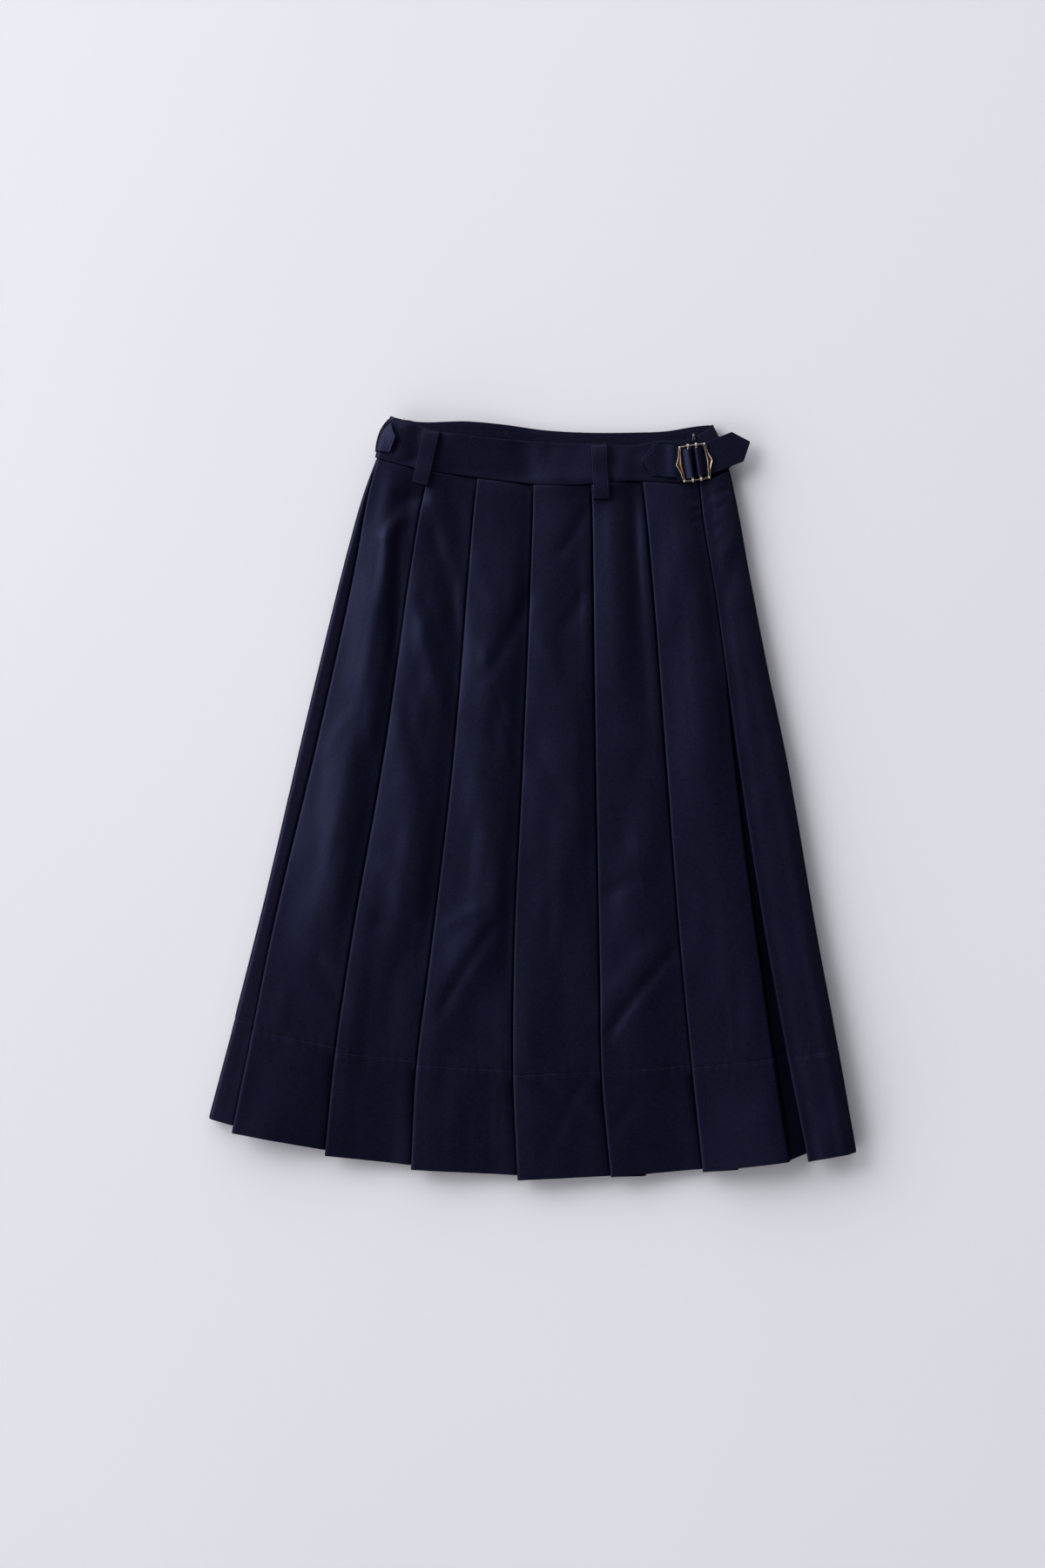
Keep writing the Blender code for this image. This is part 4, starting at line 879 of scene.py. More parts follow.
def gore_rows(fine):
    """(share, side, drop) of each row: side is 1 on the outer ply and -1 on the turned-up one."""
    last = 1 - (PLY / 2 + HEM_BEND) / GORE_LENGTH
    ends = (0.0, 0.012, 0.13, 0.832, 0.868, last)
    counts = (6, int(42 * fine), int(106 * fine), 20, int(30 * fine))
    runs = [np.linspace(a, b, count)[1:] for a, b, count in zip(ends, ends[1:], counts)]
    shares = np.concatenate([[0.0]] + runs)
    rows = [(share, 1.0, 0.0) for share in shares]
    for angle in np.linspace(0, math.pi, 9)[1:-1]:
        rows.append((last, math.cos(angle), math.sin(angle)))
    rows += [(share, -1.0, 0.0) for share in np.linspace(last, HEM_START - 0.003, 16)]
    return rows


def gore_grid(k, rows, detail):
    """Middle points of gore k's ply and its (u, v)."""
    top_place = gore_line(k, 0.0, detail)[0]
    hem_place, _, hem_first, hem_last = gore_line(k, 1.0, detail)
    top_y = ring(0.0).edge(top_place, FRONT_SEAM, BACK_SEAM) - SEAM_GAP / 2
    hem_y = gore_hem(k, hem_place, hem_first, hem_last)
    grid, grain = [], []
    for share, side, drop in rows:
        here = ring(share)
        place, depth, first, last = gore_line(k, share, detail)
        step = np.gradient(np.stack([place, depth], axis=1), axis=0)
        step /= np.linalg.norm(step, axis=1)[:, None]
        offset = side * (wall(share) / 2 - PLY / 2 if side > 0 else HEM_BEND)
        across = np.concatenate([[0], np.cumsum(np.hypot(np.diff(place), np.diff(depth)))])
        place = place + step[:, 1] * offset
        depth = depth - step[:, 0] * offset
        x, z, out_x, out_z, front = here.base(place).T
        y = top_y + (hem_y - top_y) * share - drop * HEM_BEND
        run = (top_y - hem_y) * share
        rise = front ** 4 * (relief(x, y) - hem_sag(x, share))
        rise -= (1 - front) ** 4 * (0.5 + rumple(x, y)) * smooth(share / 0.1)
        rise -= SEAM_DIP[0] * bump(run, SEAM_DIP[1])
        if side > 0:
            near = (share - HEM_START) * GORE_LENGTH
            rise -= HEM_DIP[0] * bump(near, HEM_DIP[1])
            pucker = np.sin(x / 1.9 + 2.0 * np.sin(x / 7.3 + k))
            rise += HEM_PUCKER[0] * pucker * bump(near, HEM_PUCKER[1])
        depth = depth - rise
        grid.append(np.stack([x - out_x * depth, y, z - out_z * depth], axis=1))
        down = run if side > 0 else 2 * (top_y - hem_y) - run
        grain.append(np.stack([across - across[-1] / 2, down], axis=1))
    return np.array(grid), np.array(grain)


def put_on(piece, nodes, body="skirt"):
    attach(piece, body)
    if nodes:
        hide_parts(*nodes)
    return piece


def gore_cut(k):
    """Width at the hem and length of gore k's cut, and its area, in metres."""
    widths = []
    for share in (0.0, 1.0):
        first, last = fold_place(k, share), fold_place((k + 1) % FOLD_COUNT, share)
        if last < first:
            last += ring(share).length
        widths.append((last - first + 2 * tuck(share)) * MM)
    length = (GORE_LENGTH + HEM_TURN) * MM
    area = sum(widths) / 2 * GORE_LENGTH * MM + widths[1] * HEM_TURN * MM
    return (widths[1], length), min(area, widths[1] * length)


def stitch_tree():
    """Lays stitches end to end along each line of a mesh of edges."""
    tree = bpy.data.node_groups.new("stitches", "GeometryNodeTree")
    face = tree.interface
    face.new_socket("Geometry", in_out="INPUT", socket_type="NodeSocketGeometry")
    sockets = {}
    for name in ("Spacing", "Length", "Width"):
        sockets[name] = face.new_socket(name, in_out="INPUT", socket_type="NodeSocketFloat").identifier
    sockets["Thread"] = face.new_socket("Thread", in_out="INPUT",
                                        socket_type="NodeSocketMaterial").identifier
    face.new_socket("Geometry", in_out="OUTPUT", socket_type="NodeSocketGeometry")
    given = tree.nodes.new("NodeGroupInput").outputs
    line = add_node(tree, "GeometryNodeMeshToCurve", {"Mesh": given["Geometry"]})
    places = add_node(tree, "GeometryNodeCurveToPoints",
                      {"Curve": line.outputs["Curve"], "Length": given["Spacing"]}, mode="LENGTH")
    one = add_node(tree, "GeometryNodeMeshUVSphere", in_Segments=6, in_Rings=4, in_Radius=0.5)
    size = add_node(tree, "ShaderNodeCombineXYZ",
                    {"X": given["Width"], "Y": given["Width"], "Z": given["Length"]})
    laid = add_node(tree, "GeometryNodeInstanceOnPoints",
                    {"Points": places.outputs["Points"], "Instance": one.outputs["Mesh"],
                     "Rotation": places.outputs["Rotation"], "Scale": size.outputs["Vector"]})
    real = add_node(tree, "GeometryNodeRealizeInstances", {"Geometry": laid.outputs["Instances"]})
    shaded = add_node(tree, "GeometryNodeSetShadeSmooth", {"Geometry": real.outputs["Geometry"]})
    dyed = add_node(tree, "GeometryNodeSetMaterial",
                    {"Geometry": shaded.outputs["Geometry"], "Material": given["Thread"]})
    out = tree.nodes.new("NodeGroupOutput")
    tree.links.new(dyed.outputs["Geometry"], out.inputs["Geometry"])
    return tree, sockets


STITCH_TREE, STITCH_SOCKETS = stitch_tree()


# Spacing, length and width of the stitches, and of the zip's teeth
HEM_STITCH = (3.0, 2.3, 0.5)
FACING_STITCH = (2.6, 2.0, 0.3)
TACK_STITCH = (0.9, 1.1, 0.5)
LOOP_STITCH = (2.2, 1.7, 0.26)
STRAP_STITCH = (2.4, 1.9, 0.27)
TOOTH = (1.5, 0.8, 0.9)


def stitch_lines(name, lines, sizes):
    """A piece of stitches along lines of points in millimetres."""
    points, edges = [], []
    for line in lines:
        start = len(points)
        points += (np.asarray(line) * MM).tolist()
        edges += [(start + i, start + i + 1) for i in range(len(line) - 1)]
    mesh = bpy.data.meshes.new(name + "_path")
    mesh.from_pydata(points, edges, [])
    guide = bpy.data.objects.new(name + "_path", mesh)
    bpy.context.scene.collection.objects.link(guide)
    layer = guide.modifiers.new("stitches", "NODES")
    layer.node_group = STITCH_TREE
    for socket, value in zip(("Spacing", "Length", "Width"), sizes):
        layer[STITCH_SOCKETS[socket]] = value * MM
    layer[STITCH_SOCKETS["Thread"]] = THREAD_LOOK
    ready = guide.evaluated_get(bpy.context.evaluated_depsgraph_get())
    made = bpy.data.objects.new(name, bpy.data.meshes.new_from_object(ready))
    bpy.context.scene.collection.objects.link(made)
    bpy.data.objects.remove(guide, do_unlink=True)
    bpy.data.meshes.remove(mesh)
    return put_on(made, ())


SHOWN_DETAIL = (1.0, 42)       # how fine the rows are, and how many columns a panel has
HIDDEN_DETAIL = (0.45, 22)


def make_gores():
    for k in range(FOLD_COUNT):
        on_front = k <= ZIP_FOLD or k == FOLD_COUNT - 1
        fine, columns = SHOWN_DETAIL if on_front else HIDDEN_DETAIL
        rows = gore_rows(fine)
        grid, grain = gore_grid(k, rows, columns)
        side = "front" if k < len(FRONT_FOLDS) else "back"
        piece = sheet_mesh(f"{side}_gore_{k + 1}", grid, PLY / 2, grain, WORSTED)
        put_on(piece, [f"gore_{side}_{k + 1}"])
        outer = [i for i, (_, side_of_hem, _) in enumerate(rows) if side_of_hem > 0]
        row = min(outer, key=lambda i: abs(rows[i][0] - HEM_START))
        shown = slice(UNDER_COLUMNS + 2, -TUCK_COLUMNS)
        line = grid[row, shown] - normals_of(grid)[row, shown] * (PLY / 2 + 0.05)
        sewn = stitch_lines(f"hem_stitches_{k + 1}", [line], HEM_STITCH)
        flat, area = gore_cut(k)


# ---- waistband ----

def zip_x(share):
    return ZIP_SEAM_X + (ZIP_TOP_X - ZIP_SEAM_X) * -share


def front_band_span(here, share, t):
    """From the left side to the zip."""
    start, end = SEAM_GAP / 2, here.at_front(zip_x(share) - ZIP_SLOT / 2)
    return start + (end - start) * t


def back_band_span(here, share, t):
    """From the zip round the right side, and along the back to the left side."""
    start, end = here.at_front(zip_x(share) + ZIP_SLOT / 2), here.length - SEAM_GAP / 2
    turn = here.right_start
    marks = (start, turn, turn + here.side_arc, here.left_start, end)
    return np.interp(t, (0.0, 0.12, 0.3, 0.9, 1.0), marks)


def facing_span(here, share, t):
    """The inside of the back, between the two sides."""
    start, end = here.right_start + here.side_arc, here.length - math.pi / 2 * here.r
    return start + (end - start) * t


BAND_RIM = 1.0
FACING_DEPTH = BAND_WALL + 0.35
FACING_INSET = 4.2     # how far below its top edge the facing is stitched
TACK_PLACE = 0.64      # and where along it a tack holds it
TACK_ASIDE = (-0.004, 0.0, 0.004)
TACK_DOWN = (-0.83, -0.80, -0.77, -0.74)


def band_surface(span, depth, skirt_edge, share, t):
    """Middle points of a band at shares and places t, both arrays of the same length."""
    here = ring(share)
    s = span(here, share, t)
    x, z, out_x, out_z, front = here.base(s).T
    low = here.edge(s, FRONT_SEAM, BACK_SEAM) + skirt_edge
    high = here.edge(s, FRONT_TOP, BACK_TOP)
    y = low + (high - low) * -share
    level = depth - front ** 4 * relief(x, y)
    return np.stack([x - out_x * level, y, z - out_z * level], axis=-1)


def make_band(name, node, span, depth, thickness, columns, skirt_edge, length):
    heights = spread(14, BAND_DEPTH, BAND_RIM)
    ends = spread(columns, length, BAND_RIM)
    t = ends / length
    middle = depth + thickness / 2
    grid = np.array([band_surface(span, middle, skirt_edge, -h / BAND_DEPTH, t) for h in heights])
    near = np.minimum.outer(np.minimum(heights, BAND_DEPTH - heights), np.minimum(ends, length - ends))
    half = rounded(near, BAND_RIM, thickness)
    grain = np.stack(np.meshgrid(ends, heights), axis=-1)
    return put_on(sheet_mesh(name, grid[::-1], half[::-1], grain[::-1], WORSTED), [node])


def facing_stitches(inner, skirt_edge):
    """The facing's row of stitches below its top edge, and its tack of three short lines."""
    row = band_surface(facing_span, inner, skirt_edge, -1 + FACING_INSET / BAND_DEPTH,
                       np.linspace(0.02, 0.98, 200))
    tack = [[band_surface(facing_span, inner, skirt_edge, down, np.array([TACK_PLACE + aside]))[0]
             for down in TACK_DOWN] for aside in TACK_ASIDE]
    return [stitch_lines("lining_stitches", [row], FACING_STITCH),
            stitch_lines("lining_tack", tack, TACK_STITCH)]


def make_waistband():
    bands = (
        # piece, node, span, depth, wall, columns, how far from the seam its lower edge is, length
        ("front_waistband", "waistband_front", front_band_span, 0.0, BAND_WALL, 130, -0.2, 335.0),
        ("back_waistband", "waistband_back", back_band_span, 0.0, BAND_WALL, 170, -0.2, 365.0),
        ("waistband_lining", "waistband_facing", facing_span, FACING_DEPTH, FACING_WALL, 90, 1.0, 320.0),
    )
    for name, node, span, depth, thickness, columns, skirt_edge, length in bands:
        piece = make_band(name, node, span, depth, thickness, columns, skirt_edge, length)
        on_facing = span == facing_span
        sewn = facing_stitches(depth + thickness + 0.05, skirt_edge) if on_facing else []


# ---- straps: loops and adjusters ----

class Strap:
    """A strip of cloth along stations of (centre, across), across being half its width."""

    def __init__(self, stations, thickness, start_point=0.0, end_point=0.0):
        centre = np.array([s[0] for s in stations], float)
        self.across = np.array([s[1] for s in stations], float)
        self.half = np.linalg.norm(self.across, axis=1)
        self.lengths = np.concatenate([[0], np.cumsum(np.linalg.norm(np.diff(centre, axis=0), axis=1))])
        self.centre, self.thickness = centre, thickness
        self.points = start_point, end_point
        self.proud = thickness / 2 + 0.03      # where stitches lie off the middle
        self.length = self.lengths[-1]

    def read(self, values, far):
        return np.stack([along(self.lengths, values[:, i], far) for i in range(values.shape[1])], axis=-1)

    def place(self, far, v, h=0.0):
        """Points at far along the strap, v across it as a share of half its width, h off it."""
        far, v = np.broadcast_arrays(np.asarray(far, float), np.asarray(v, float))
        inside = np.clip(far, 0, self.length)
        run = self.read(self.centre, np.clip(inside + 0.2, 0, self.length))
        run = run - self.read(self.centre, np.clip(inside - 0.2, 0, self.length))
        run /= np.linalg.norm(run, axis=-1, keepdims=True)
        across = self.read(self.across, inside)
        normal = np.cross(run, across)
        normal /= np.linalg.norm(normal, axis=-1, keepdims=True)
        here = self.read(self.centre, inside) + run * (far - inside)[..., None]
        return here + across * v[..., None] + normal * np.asarray(h)[..., None]

    def grid(self, rows, columns, rim=0.7):
        """Places along and across for a mesh whose ends follow the points."""
        width = float(np.mean(self.half))
        v = spread(columns, 2 * width, rim) / width - 1
        t = spread(rows, self.length, rim) / self.length
        start = -self.points[0] * (1 - np.abs(v))
        end = self.length + self.points[1] * (1 - np.abs(v))
        far = start + np.outer(t, np.ones_like(v)) * (end - start)
        slant = [width / math.hypot(width, point) for point in self.points]
        near = np.minimum((far - start) * slant[0], (end - far) * slant[1])
        near = np.minimum(near, width * (1 - np.abs(v)))
        return far, np.broadcast_to(v, far.shape), near

    def mesh(self, name, rows, columns, look, groove=1.9):
        far, v, near = self.grid(rows, columns)
        half = rounded(near, 0.7, self.thickness)
        half = half - 0.16 * self.thickness * bump(near - groove, 0.55)
        width = float(np.mean(self.half))
        grain = np.stack([v * width, far], axis=-1)
        return sheet_mesh(name, self.place(far, v), half, grain, look)

    def inset(self, side, from_far, to_far, inset, face, count=60):
        """A line along one edge, inset from it; face is 1 or -1 for the side that shows."""
        far = np.linspace(from_far, to_far, count)
        half = along(self.lengths, self.half, np.clip(far, 0, self.length))
        v = side * (1 - inset / half)
        return self.place(far, v, np.full(count, face * self.proud))

    def chevron(self, inset, face, start=True):
        """A line round the pointed end, inset from it."""
        width = float(self.half[0 if start else -1])
        point = self.points[0 if start else 1]
        slant = math.hypot(width, point) / width
        v = np.linspace(-(1 - inset / width), 1 - inset / width, 41)
        back = -point * (1 - np.abs(v)) + inset * slant
        far = back if start else self.length - back
        return self.place(far, v, np.full(len(v), face * self.proud))


FRONT_LOOPS = (
    # name, x at the top, x at the lower end, how far below the seam
    ("front_left", -102.0, -115.0, 17.0),
    ("front_right", 70.0, 73.0, 18.0),
)
BACK_LOOPS = (
    ("back_left", -26.0, -27.0, 17.0),
    ("back_right", 96.0, 98.0, 17.0),
)
LOOP_ARCH = ((0.0, LOOP_SEAT), (0.02, LOOP_ROOM * 0.5), (0.05, LOOP_ROOM * 0.88), (0.1, LOOP_ROOM),
             (0.5, LOOP_ROOM), (0.9, LOOP_ROOM), (0.96, LOOP_ROOM * 0.88), (0.985, LOOP_ROOM * 0.5),
             (1.0, LOOP_SEAT))
LOOP_FLAT = ((0.0, BACK_LOOP_GAP), (0.5, BACK_LOOP_GAP), (1.0, BACK_LOOP_GAP))


def loop_stations(row, steps, on_front):
    """Stations of a belt loop; steps are (share of its length, clearance off the cloth)."""
    _, top_x, low_x, drop = row
    top_edge, seam = (FRONT_TOP, FRONT_SEAM) if on_front else (BACK_TOP, BACK_SEAM)
    top = Vector((top_x, edge_y(top_edge, top_x), 0))
    low = Vector((low_x, edge_y(seam, low_x) - drop, 0))
    down = (low - top).normalized()
    across = Vector((-down.y, down.x, 0)) * (LOOP_WIDTH / 2)
    stations = []
    for part, off in steps:
        at = top.lerp(low, part)
        seam_y = edge_y(seam, at.x)
        band = edge_y(top_edge, at.x) - seam_y
        share = (seam_y - at.y) / (band if at.y > seam_y else GORE_LENGTH)
        if on_front:
            sides = [ring(share).height(at.x + dx) for dx in (-LOOP_WIDTH / 2, 0, LOOP_WIDTH / 2)]
            at.z = max(sides) + off + LOOP_WALL / 2
        else:
            at.z = section("lift", share) - off - LOOP_WALL / 2
        stations.append((at, across))
    return stations


def make_belt_loops():
    for rows, arch, on_front in ((FRONT_LOOPS, LOOP_ARCH, True), (BACK_LOOPS, LOOP_FLAT, False)):
        for row in rows:
            strap = Strap(loop_stations(row, arch, on_front), LOOP_WALL)
            piece = strap.mesh(f"loop_{row[0]}", 34, 18, WORSTED)
            put_on(piece, [f"belt_loop_{row[0]}"])
            face = 1 if on_front else -1
            edges = [strap.inset(side, 1.0, strap.length - 1.0, 1.7, face) for side in (-1, 1)]
            sewn = stitch_lines(f"loop_{row[0]}_stitches", edges, LOOP_STITCH)


RIGHT_BUCKLE = (168.8, 346.1)
RIGHT_BUCKLE_TURN = 8.5                # degrees
RIGHT_BUCKLE_BASE = 13.5
RIGHT_TAB = (
    # x, y, layer off the band, degrees: on the front, from its point to the buckle
    (126.0, 349.2, 1, -2.0),
    (138.0, 348.6, 1, -1.0),
    (147.5, 347.6, 2, 3.0),
)
TAIL_TURN = 22.0                       # degrees that the right strap slants on the front
TAIL_RUN = ((44.0, 1.0), (34.0, 2.2), (24.0, 2.7), (16.0, 2.75))  # from the bar, height: its tail
STRAP_RUN = ((8.5, 0.9), (18.0, 0.8))  # and the strap under it
SIDE_Y = 357.5                         # where it turns round the side
SIDE_FOLD = (-10.0, 44.0)              # its way across there
SIDE_CLIMB = 0.4                       # towards the waist at each step of the turn
BACK_RUN = ((190.0, 361.0), (165.0, 361.5), (140.0, 361.0))
RIGHT_SHARE = -0.36
LEFT_BUCKLE = (-137.5, 374.0)
LEFT_BUCKLE_TURN = -3.0
LEFT_SHARE = -0.55
LEFT_TAB_Y = 373.5
LEFT_FOLD = (13.0, 33.0)               # the tab's way across at the fold
LEFT_TAB_END = (4.5, -0.6, 2.6)        # how far its end reaches in, over and up
LEFT_TAB_CROSS = (3.0, 33.0)           # and its way across there
LEFT_TAB_EASE = 0.3
LEFT_BEND = (
    # y, and how far in the left tab moves there to follow the band's end
    (355.0, 4.0), (361.0, 2.6), (367.0, 1.0), (373.5, 0.0), (380.0, -0.2), (386.0, 1.0), (392.0, 2.8),
)
BAR_SPREAD = 4.3       # from the buckle's middle to each bar
BAR_HEIGHT = 5.1
BAR_RADIUS = 1.1
RAIL = 18.0            # from the buckle's middle to each rail
BAR_END = 16.2
RING_RADIUS = 2.0
RING_WIRE = 0.5
FRAME_WALL = 1.6
# The first quarter of the frame's outlines, from its corner to the middle of its wing
FRAME_OUTER = ((13.5, 18.9), (14.6, 15.0), (15.6, 9.0), (17.2, 4.5), (19.5, 0.0))
FRAME_INNER = ((11.8, 17.1), (12.2, 13.0), (12.6, 8.0), (13.0, 4.0), (13.2, 0.0))
STRAP_WIDTH = 33.0
ROLL_WIDTH = 29.8      # and where it is rolled round a bar
STRAP_GAP = 0.3
STRAP_EASE = 0.5
ROLL_RADIUS = BAR_RADIUS + 1.5 * STRAP_GAP + STRAP_WALL / 2
TAIL_POINT = 14.5
RIGHT_TAB_POINT = 12.0
LEFT_TAB_POINT = 9.0


def slanted(degrees):
    """Unit vectors along and across at a slant."""
    turn = math.radians(degrees)
    return Vector((math.cos(turn), math.sin(turn), 0)), Vector((-math.sin(turn), math.cos(turn), 0))


def adjuster_frame(centre, degrees, base, outward):
    """Maps an adjuster's (u, v, h) to the skirt's (x, y, z)."""
    ex, ey = slanted(degrees)

    def place(u, v, h):
        return Vector((centre[0], centre[1], base)) + u * ex + v * ey + Vector((0, 0, outward * h))

    return place, ey


def roll(place, ey, u, way):
    """Stations round a bar, from its outer side over the far side and back on the band's side."""
    stations = []
    for angle in (125, 90, 45, 0, -45, -90):
        a = math.radians(angle)
        at = place(u - way * ROLL_RADIUS * math.cos(a), 0, BAR_HEIGHT + ROLL_RADIUS * math.sin(a))
        stations.append((at, ey * (ROLL_WIDTH / 2)))
    return stations


def layer(number):
    """Height of a strap layer's middle above the band: 1 is next to it."""
    return (number - 0.5) * STRAP_WALL + number * STRAP_GAP + STRAP_EASE


def right_adjuster():
    place, ey = adjuster_frame(RIGHT_BUCKLE, RIGHT_BUCKLE_TURN, RIGHT_BUCKLE_BASE, 1)
    half = STRAP_WIDTH / 2
    tab = []
    for x, y, off, degrees in RIGHT_TAB:
        share = -(y - float(edge_y(FRONT_SEAM, x))) / BAND_DEPTH
        height = float(ring(round(share, 2)).height(x)) + layer(off)
        tab.append((Vector((x, y, height)), slanted(degrees)[1] * half))
    tab.append((place(-12.0, 0, 2.9), ey * half))
    tab += roll(place, ey, -BAR_SPREAD, -1)
    tab += [(place(-9.0, 0, 1.3), ey * half), (place(-19.0, 0, layer(1)), ey * half)]

    run, cross = slanted(TAIL_TURN)
    bar = place(BAR_SPREAD, 0, 0)

    def off_bar(far, height):
        return bar + run * far + Vector((0, 0, height))

    strap = [(off_bar(far, height), cross * half) for far, height in TAIL_RUN]
    strap.append((off_bar(7.0, 2.95), ey * (ROLL_WIDTH / 2)))
    strap += roll(place, ey, BAR_SPREAD, 1)
    strap.append((off_bar(4.5, 1.5), ey.lerp(cross, 0.5).normalized() * half))
    strap += [(off_bar(far, height), cross * half) for far, height in STRAP_RUN]
    fold = Vector((*SIDE_FOLD, 0)).normalized() * half
    here = ring(RIGHT_SHARE)
    lift = section("lift", RIGHT_SHARE)
    middle = Vector((here.right - here.r, SIDE_Y, lift + here.r))
    over = here.r + 0.7 + STRAP_WALL / 2
    below = here.r + 0.3 + STRAP_WALL / 2
    for step, degrees in enumerate((75, 45, 15, -15, -45, -75)):
        a = math.radians(degrees)
        height = (over if a > 0 else below) * math.sin(a)
        strap.append((middle + Vector((over * math.cos(a), SIDE_CLIMB * step, height)), fold))
    low = lift - 0.35 - STRAP_WALL / 2
    strap += [(Vector((x, y, low)), Vector((-0.04, 1, 0)) * half) for x, y in BACK_RUN]
    return place, tab, strap


def left_adjuster():
    here = ring(LEFT_SHARE)
    base = section("lift", LEFT_SHARE) + section("knoll", LEFT_SHARE)
    place, ey = adjuster_frame(LEFT_BUCKLE, LEFT_BUCKLE_TURN, base, -1)
    half = STRAP_WIDTH / 2
    fold = Vector((*LEFT_FOLD, 0)).normalized() * half
    middle = Vector((here.left + here.r, LEFT_TAB_Y, base + here.r))
    reach = here.r + 0.7 + STRAP_WALL / 2 + LEFT_TAB_EASE
    end = Vector(LEFT_TAB_END) + Vector((0, 0, reach))
    tab = [(middle + end, Vector((*LEFT_TAB_CROSS, 0)).normalized() * half)]
    for degrees in (60, 35, 10, -15, -45, -75):
        a = math.radians(degrees)
        tab.append((middle + Vector((-reach * math.cos(a), 0, reach * math.sin(a))), fold))
    tab += [(place(-12.0, 0, 2.9), ey * half)]
    tab += roll(place, ey, -BAR_SPREAD, -1)
    tab += [(place(-8.5, 0, 1.3), ey * half)]

    def station(u, h):
        return place(u, 0, h), ey * half

    strap = [station(u, h) for u, h in ((46, 2.8), (30, 2.8), (16, 2.75), (11.9, 3.0))]
    strap += roll(place, ey, BAR_SPREAD, 1)
    strap += [station(u, h) for u, h in ((8.8, 1.5), (12.8, 0.95), (36, 1.1), (58, 1.1))]
    return place, tab, strap


def follow_outline(pieces):
    """Bends the left adjuster's fold to the curved end of the band."""
    ys, shifts = (np.array(values) * MM for values in zip(*LEFT_BEND))
    for piece in pieces:
        for vertex in piece.data.vertices:
            vertex.co.x += float(np.interp(vertex.co.y, ys, shifts))


def make_adjuster(side, stations, tab_point, stitched, reshape=None):
    """The tab, the strap and their stitching; stitched is how far along each shows its stitches."""
    tab = Strap(stations[0], STRAP_WALL, start_point=tab_point)
    strap = Strap(stations[1], STRAP_WALL, start_point=TAIL_POINT)
    tab_end, strap_end = stitched
    lines = [tab.chevron(1.6, 1), tab.chevron(4.4, 1)]
    lines += [tab.inset(way, 1.6, tab_end, 1.6, 1) for way in (-1, 1)]
    lines += [tab.place(np.full(30, tab_end), np.linspace(-0.94, 0.94, 30), np.full(30, tab.proud))]
    tab_sewn = stitch_lines(f"{side}_tab_stitches", lines, STRAP_STITCH)
    lines = [strap.chevron(2.0, -1)] + [strap.inset(way, 2.0, strap_end, 2.0, -1) for way in (-1, 1)]
    strap_sewn = stitch_lines(f"{side}_strap_stitches", lines, STRAP_STITCH)
    for name, strip, sewn in (("tab", tab, tab_sewn), ("strap", strap, strap_sewn)):
        piece = strip.mesh(f"{side}_{name}", 110, 22, WORSTED)
        put_on(piece, [f"adjuster_{side}_{name}"])
        if reshape and strip is tab:
            reshape((piece, sewn))


# ---- buckles ----

def quartered(quarter):
    """A closed outline from its first quarter, which runs from a corner to the u axis."""
    right = list(quarter) + [(u, -v) for u, v in quarter[-2::-1]]
    return np.array(right + [(-u, v) for u, v in right[::-1]], float)


def resampled(outline, parts):
    """A closed outline with parts points between each two of its own."""
    count = len(outline)
    rows = []
    for i in range(count):
        here, there = outline[i], outline[(i + 1) % count]
        rows += [here + (there - here) * j / parts for j in range(parts)]
    line = np.array(rows)
    for _ in range(3):
        line = (np.roll(line, 1, 0) + 2 * line + np.roll(line, -1, 0)) / 4
    return line


DISH = (
    # across from the inner rim, height as a share of the wall, how rubbed it is
    (0.0, 0.1, 0.5),
    (0.0, 0.75, 1.0),
    (0.07, 1.05, 0.9),
    (0.16, 1.12, 0.6),
    (0.26, 0.95, 0.2),
    (0.4, 0.5, 0.0),
    (0.6, 0.38, 0.0),
    (0.76, 0.62, 0.1),
    (0.86, 1.0, 0.8),
    (0.93, 1.05, 1.0),
    (1.0, 0.75, 1.0),
    (1.0, 0.1, 0.5),
    (0.8, -0.05, 0.3),
    (0.2, -0.05, 0.3),
)


def grid_faces(rows, columns):
    """Faces of a grid that closes on itself both ways."""
    index = np.arange(rows * columns).reshape(rows, columns)
    right, down = np.roll(index, -1, 1), np.roll(index, -1, 0)
    both = np.roll(right, -1, 0)
    return np.stack([index, right, both, down], axis=-1).reshape(-1, 4)


def outward(points, faces):
    """The faces, turned so that a closed shape has its volume positive."""
    p = np.asarray(points)[np.asarray(faces)]
    volume = np.sum(p[:, 0] * np.cross(p[:, 1], p[:, 2])) + np.sum(p[:, 0] * np.cross(p[:, 2], p[:, 3]))
    return faces if volume > 0 else np.asarray(faces)[:, ::-1]


def metal_piece(name, parts, look, nodes, body="skirt"):
    """One piece from (points, faces, rubbed) parts, each closed."""
    points, faces, rubbed = [], [], []
    for part_points, part_faces, part_rubbed in parts:
        start = sum(len(p) for p in points)
        points.append(np.asarray(part_points, float))
        faces.append(outward(part_points, part_faces) + start)
        rubbed.append(np.broadcast_to(part_rubbed, len(part_points)))
    piece = new_piece(name, np.vstack(points), np.vstack(faces), look)
    worn = piece.data.attributes.new("rubbed", "FLOAT", "POINT")
    worn.data.foreach_set("value", np.concatenate(rubbed).astype(np.float32))
    return put_on(piece, nodes, body)


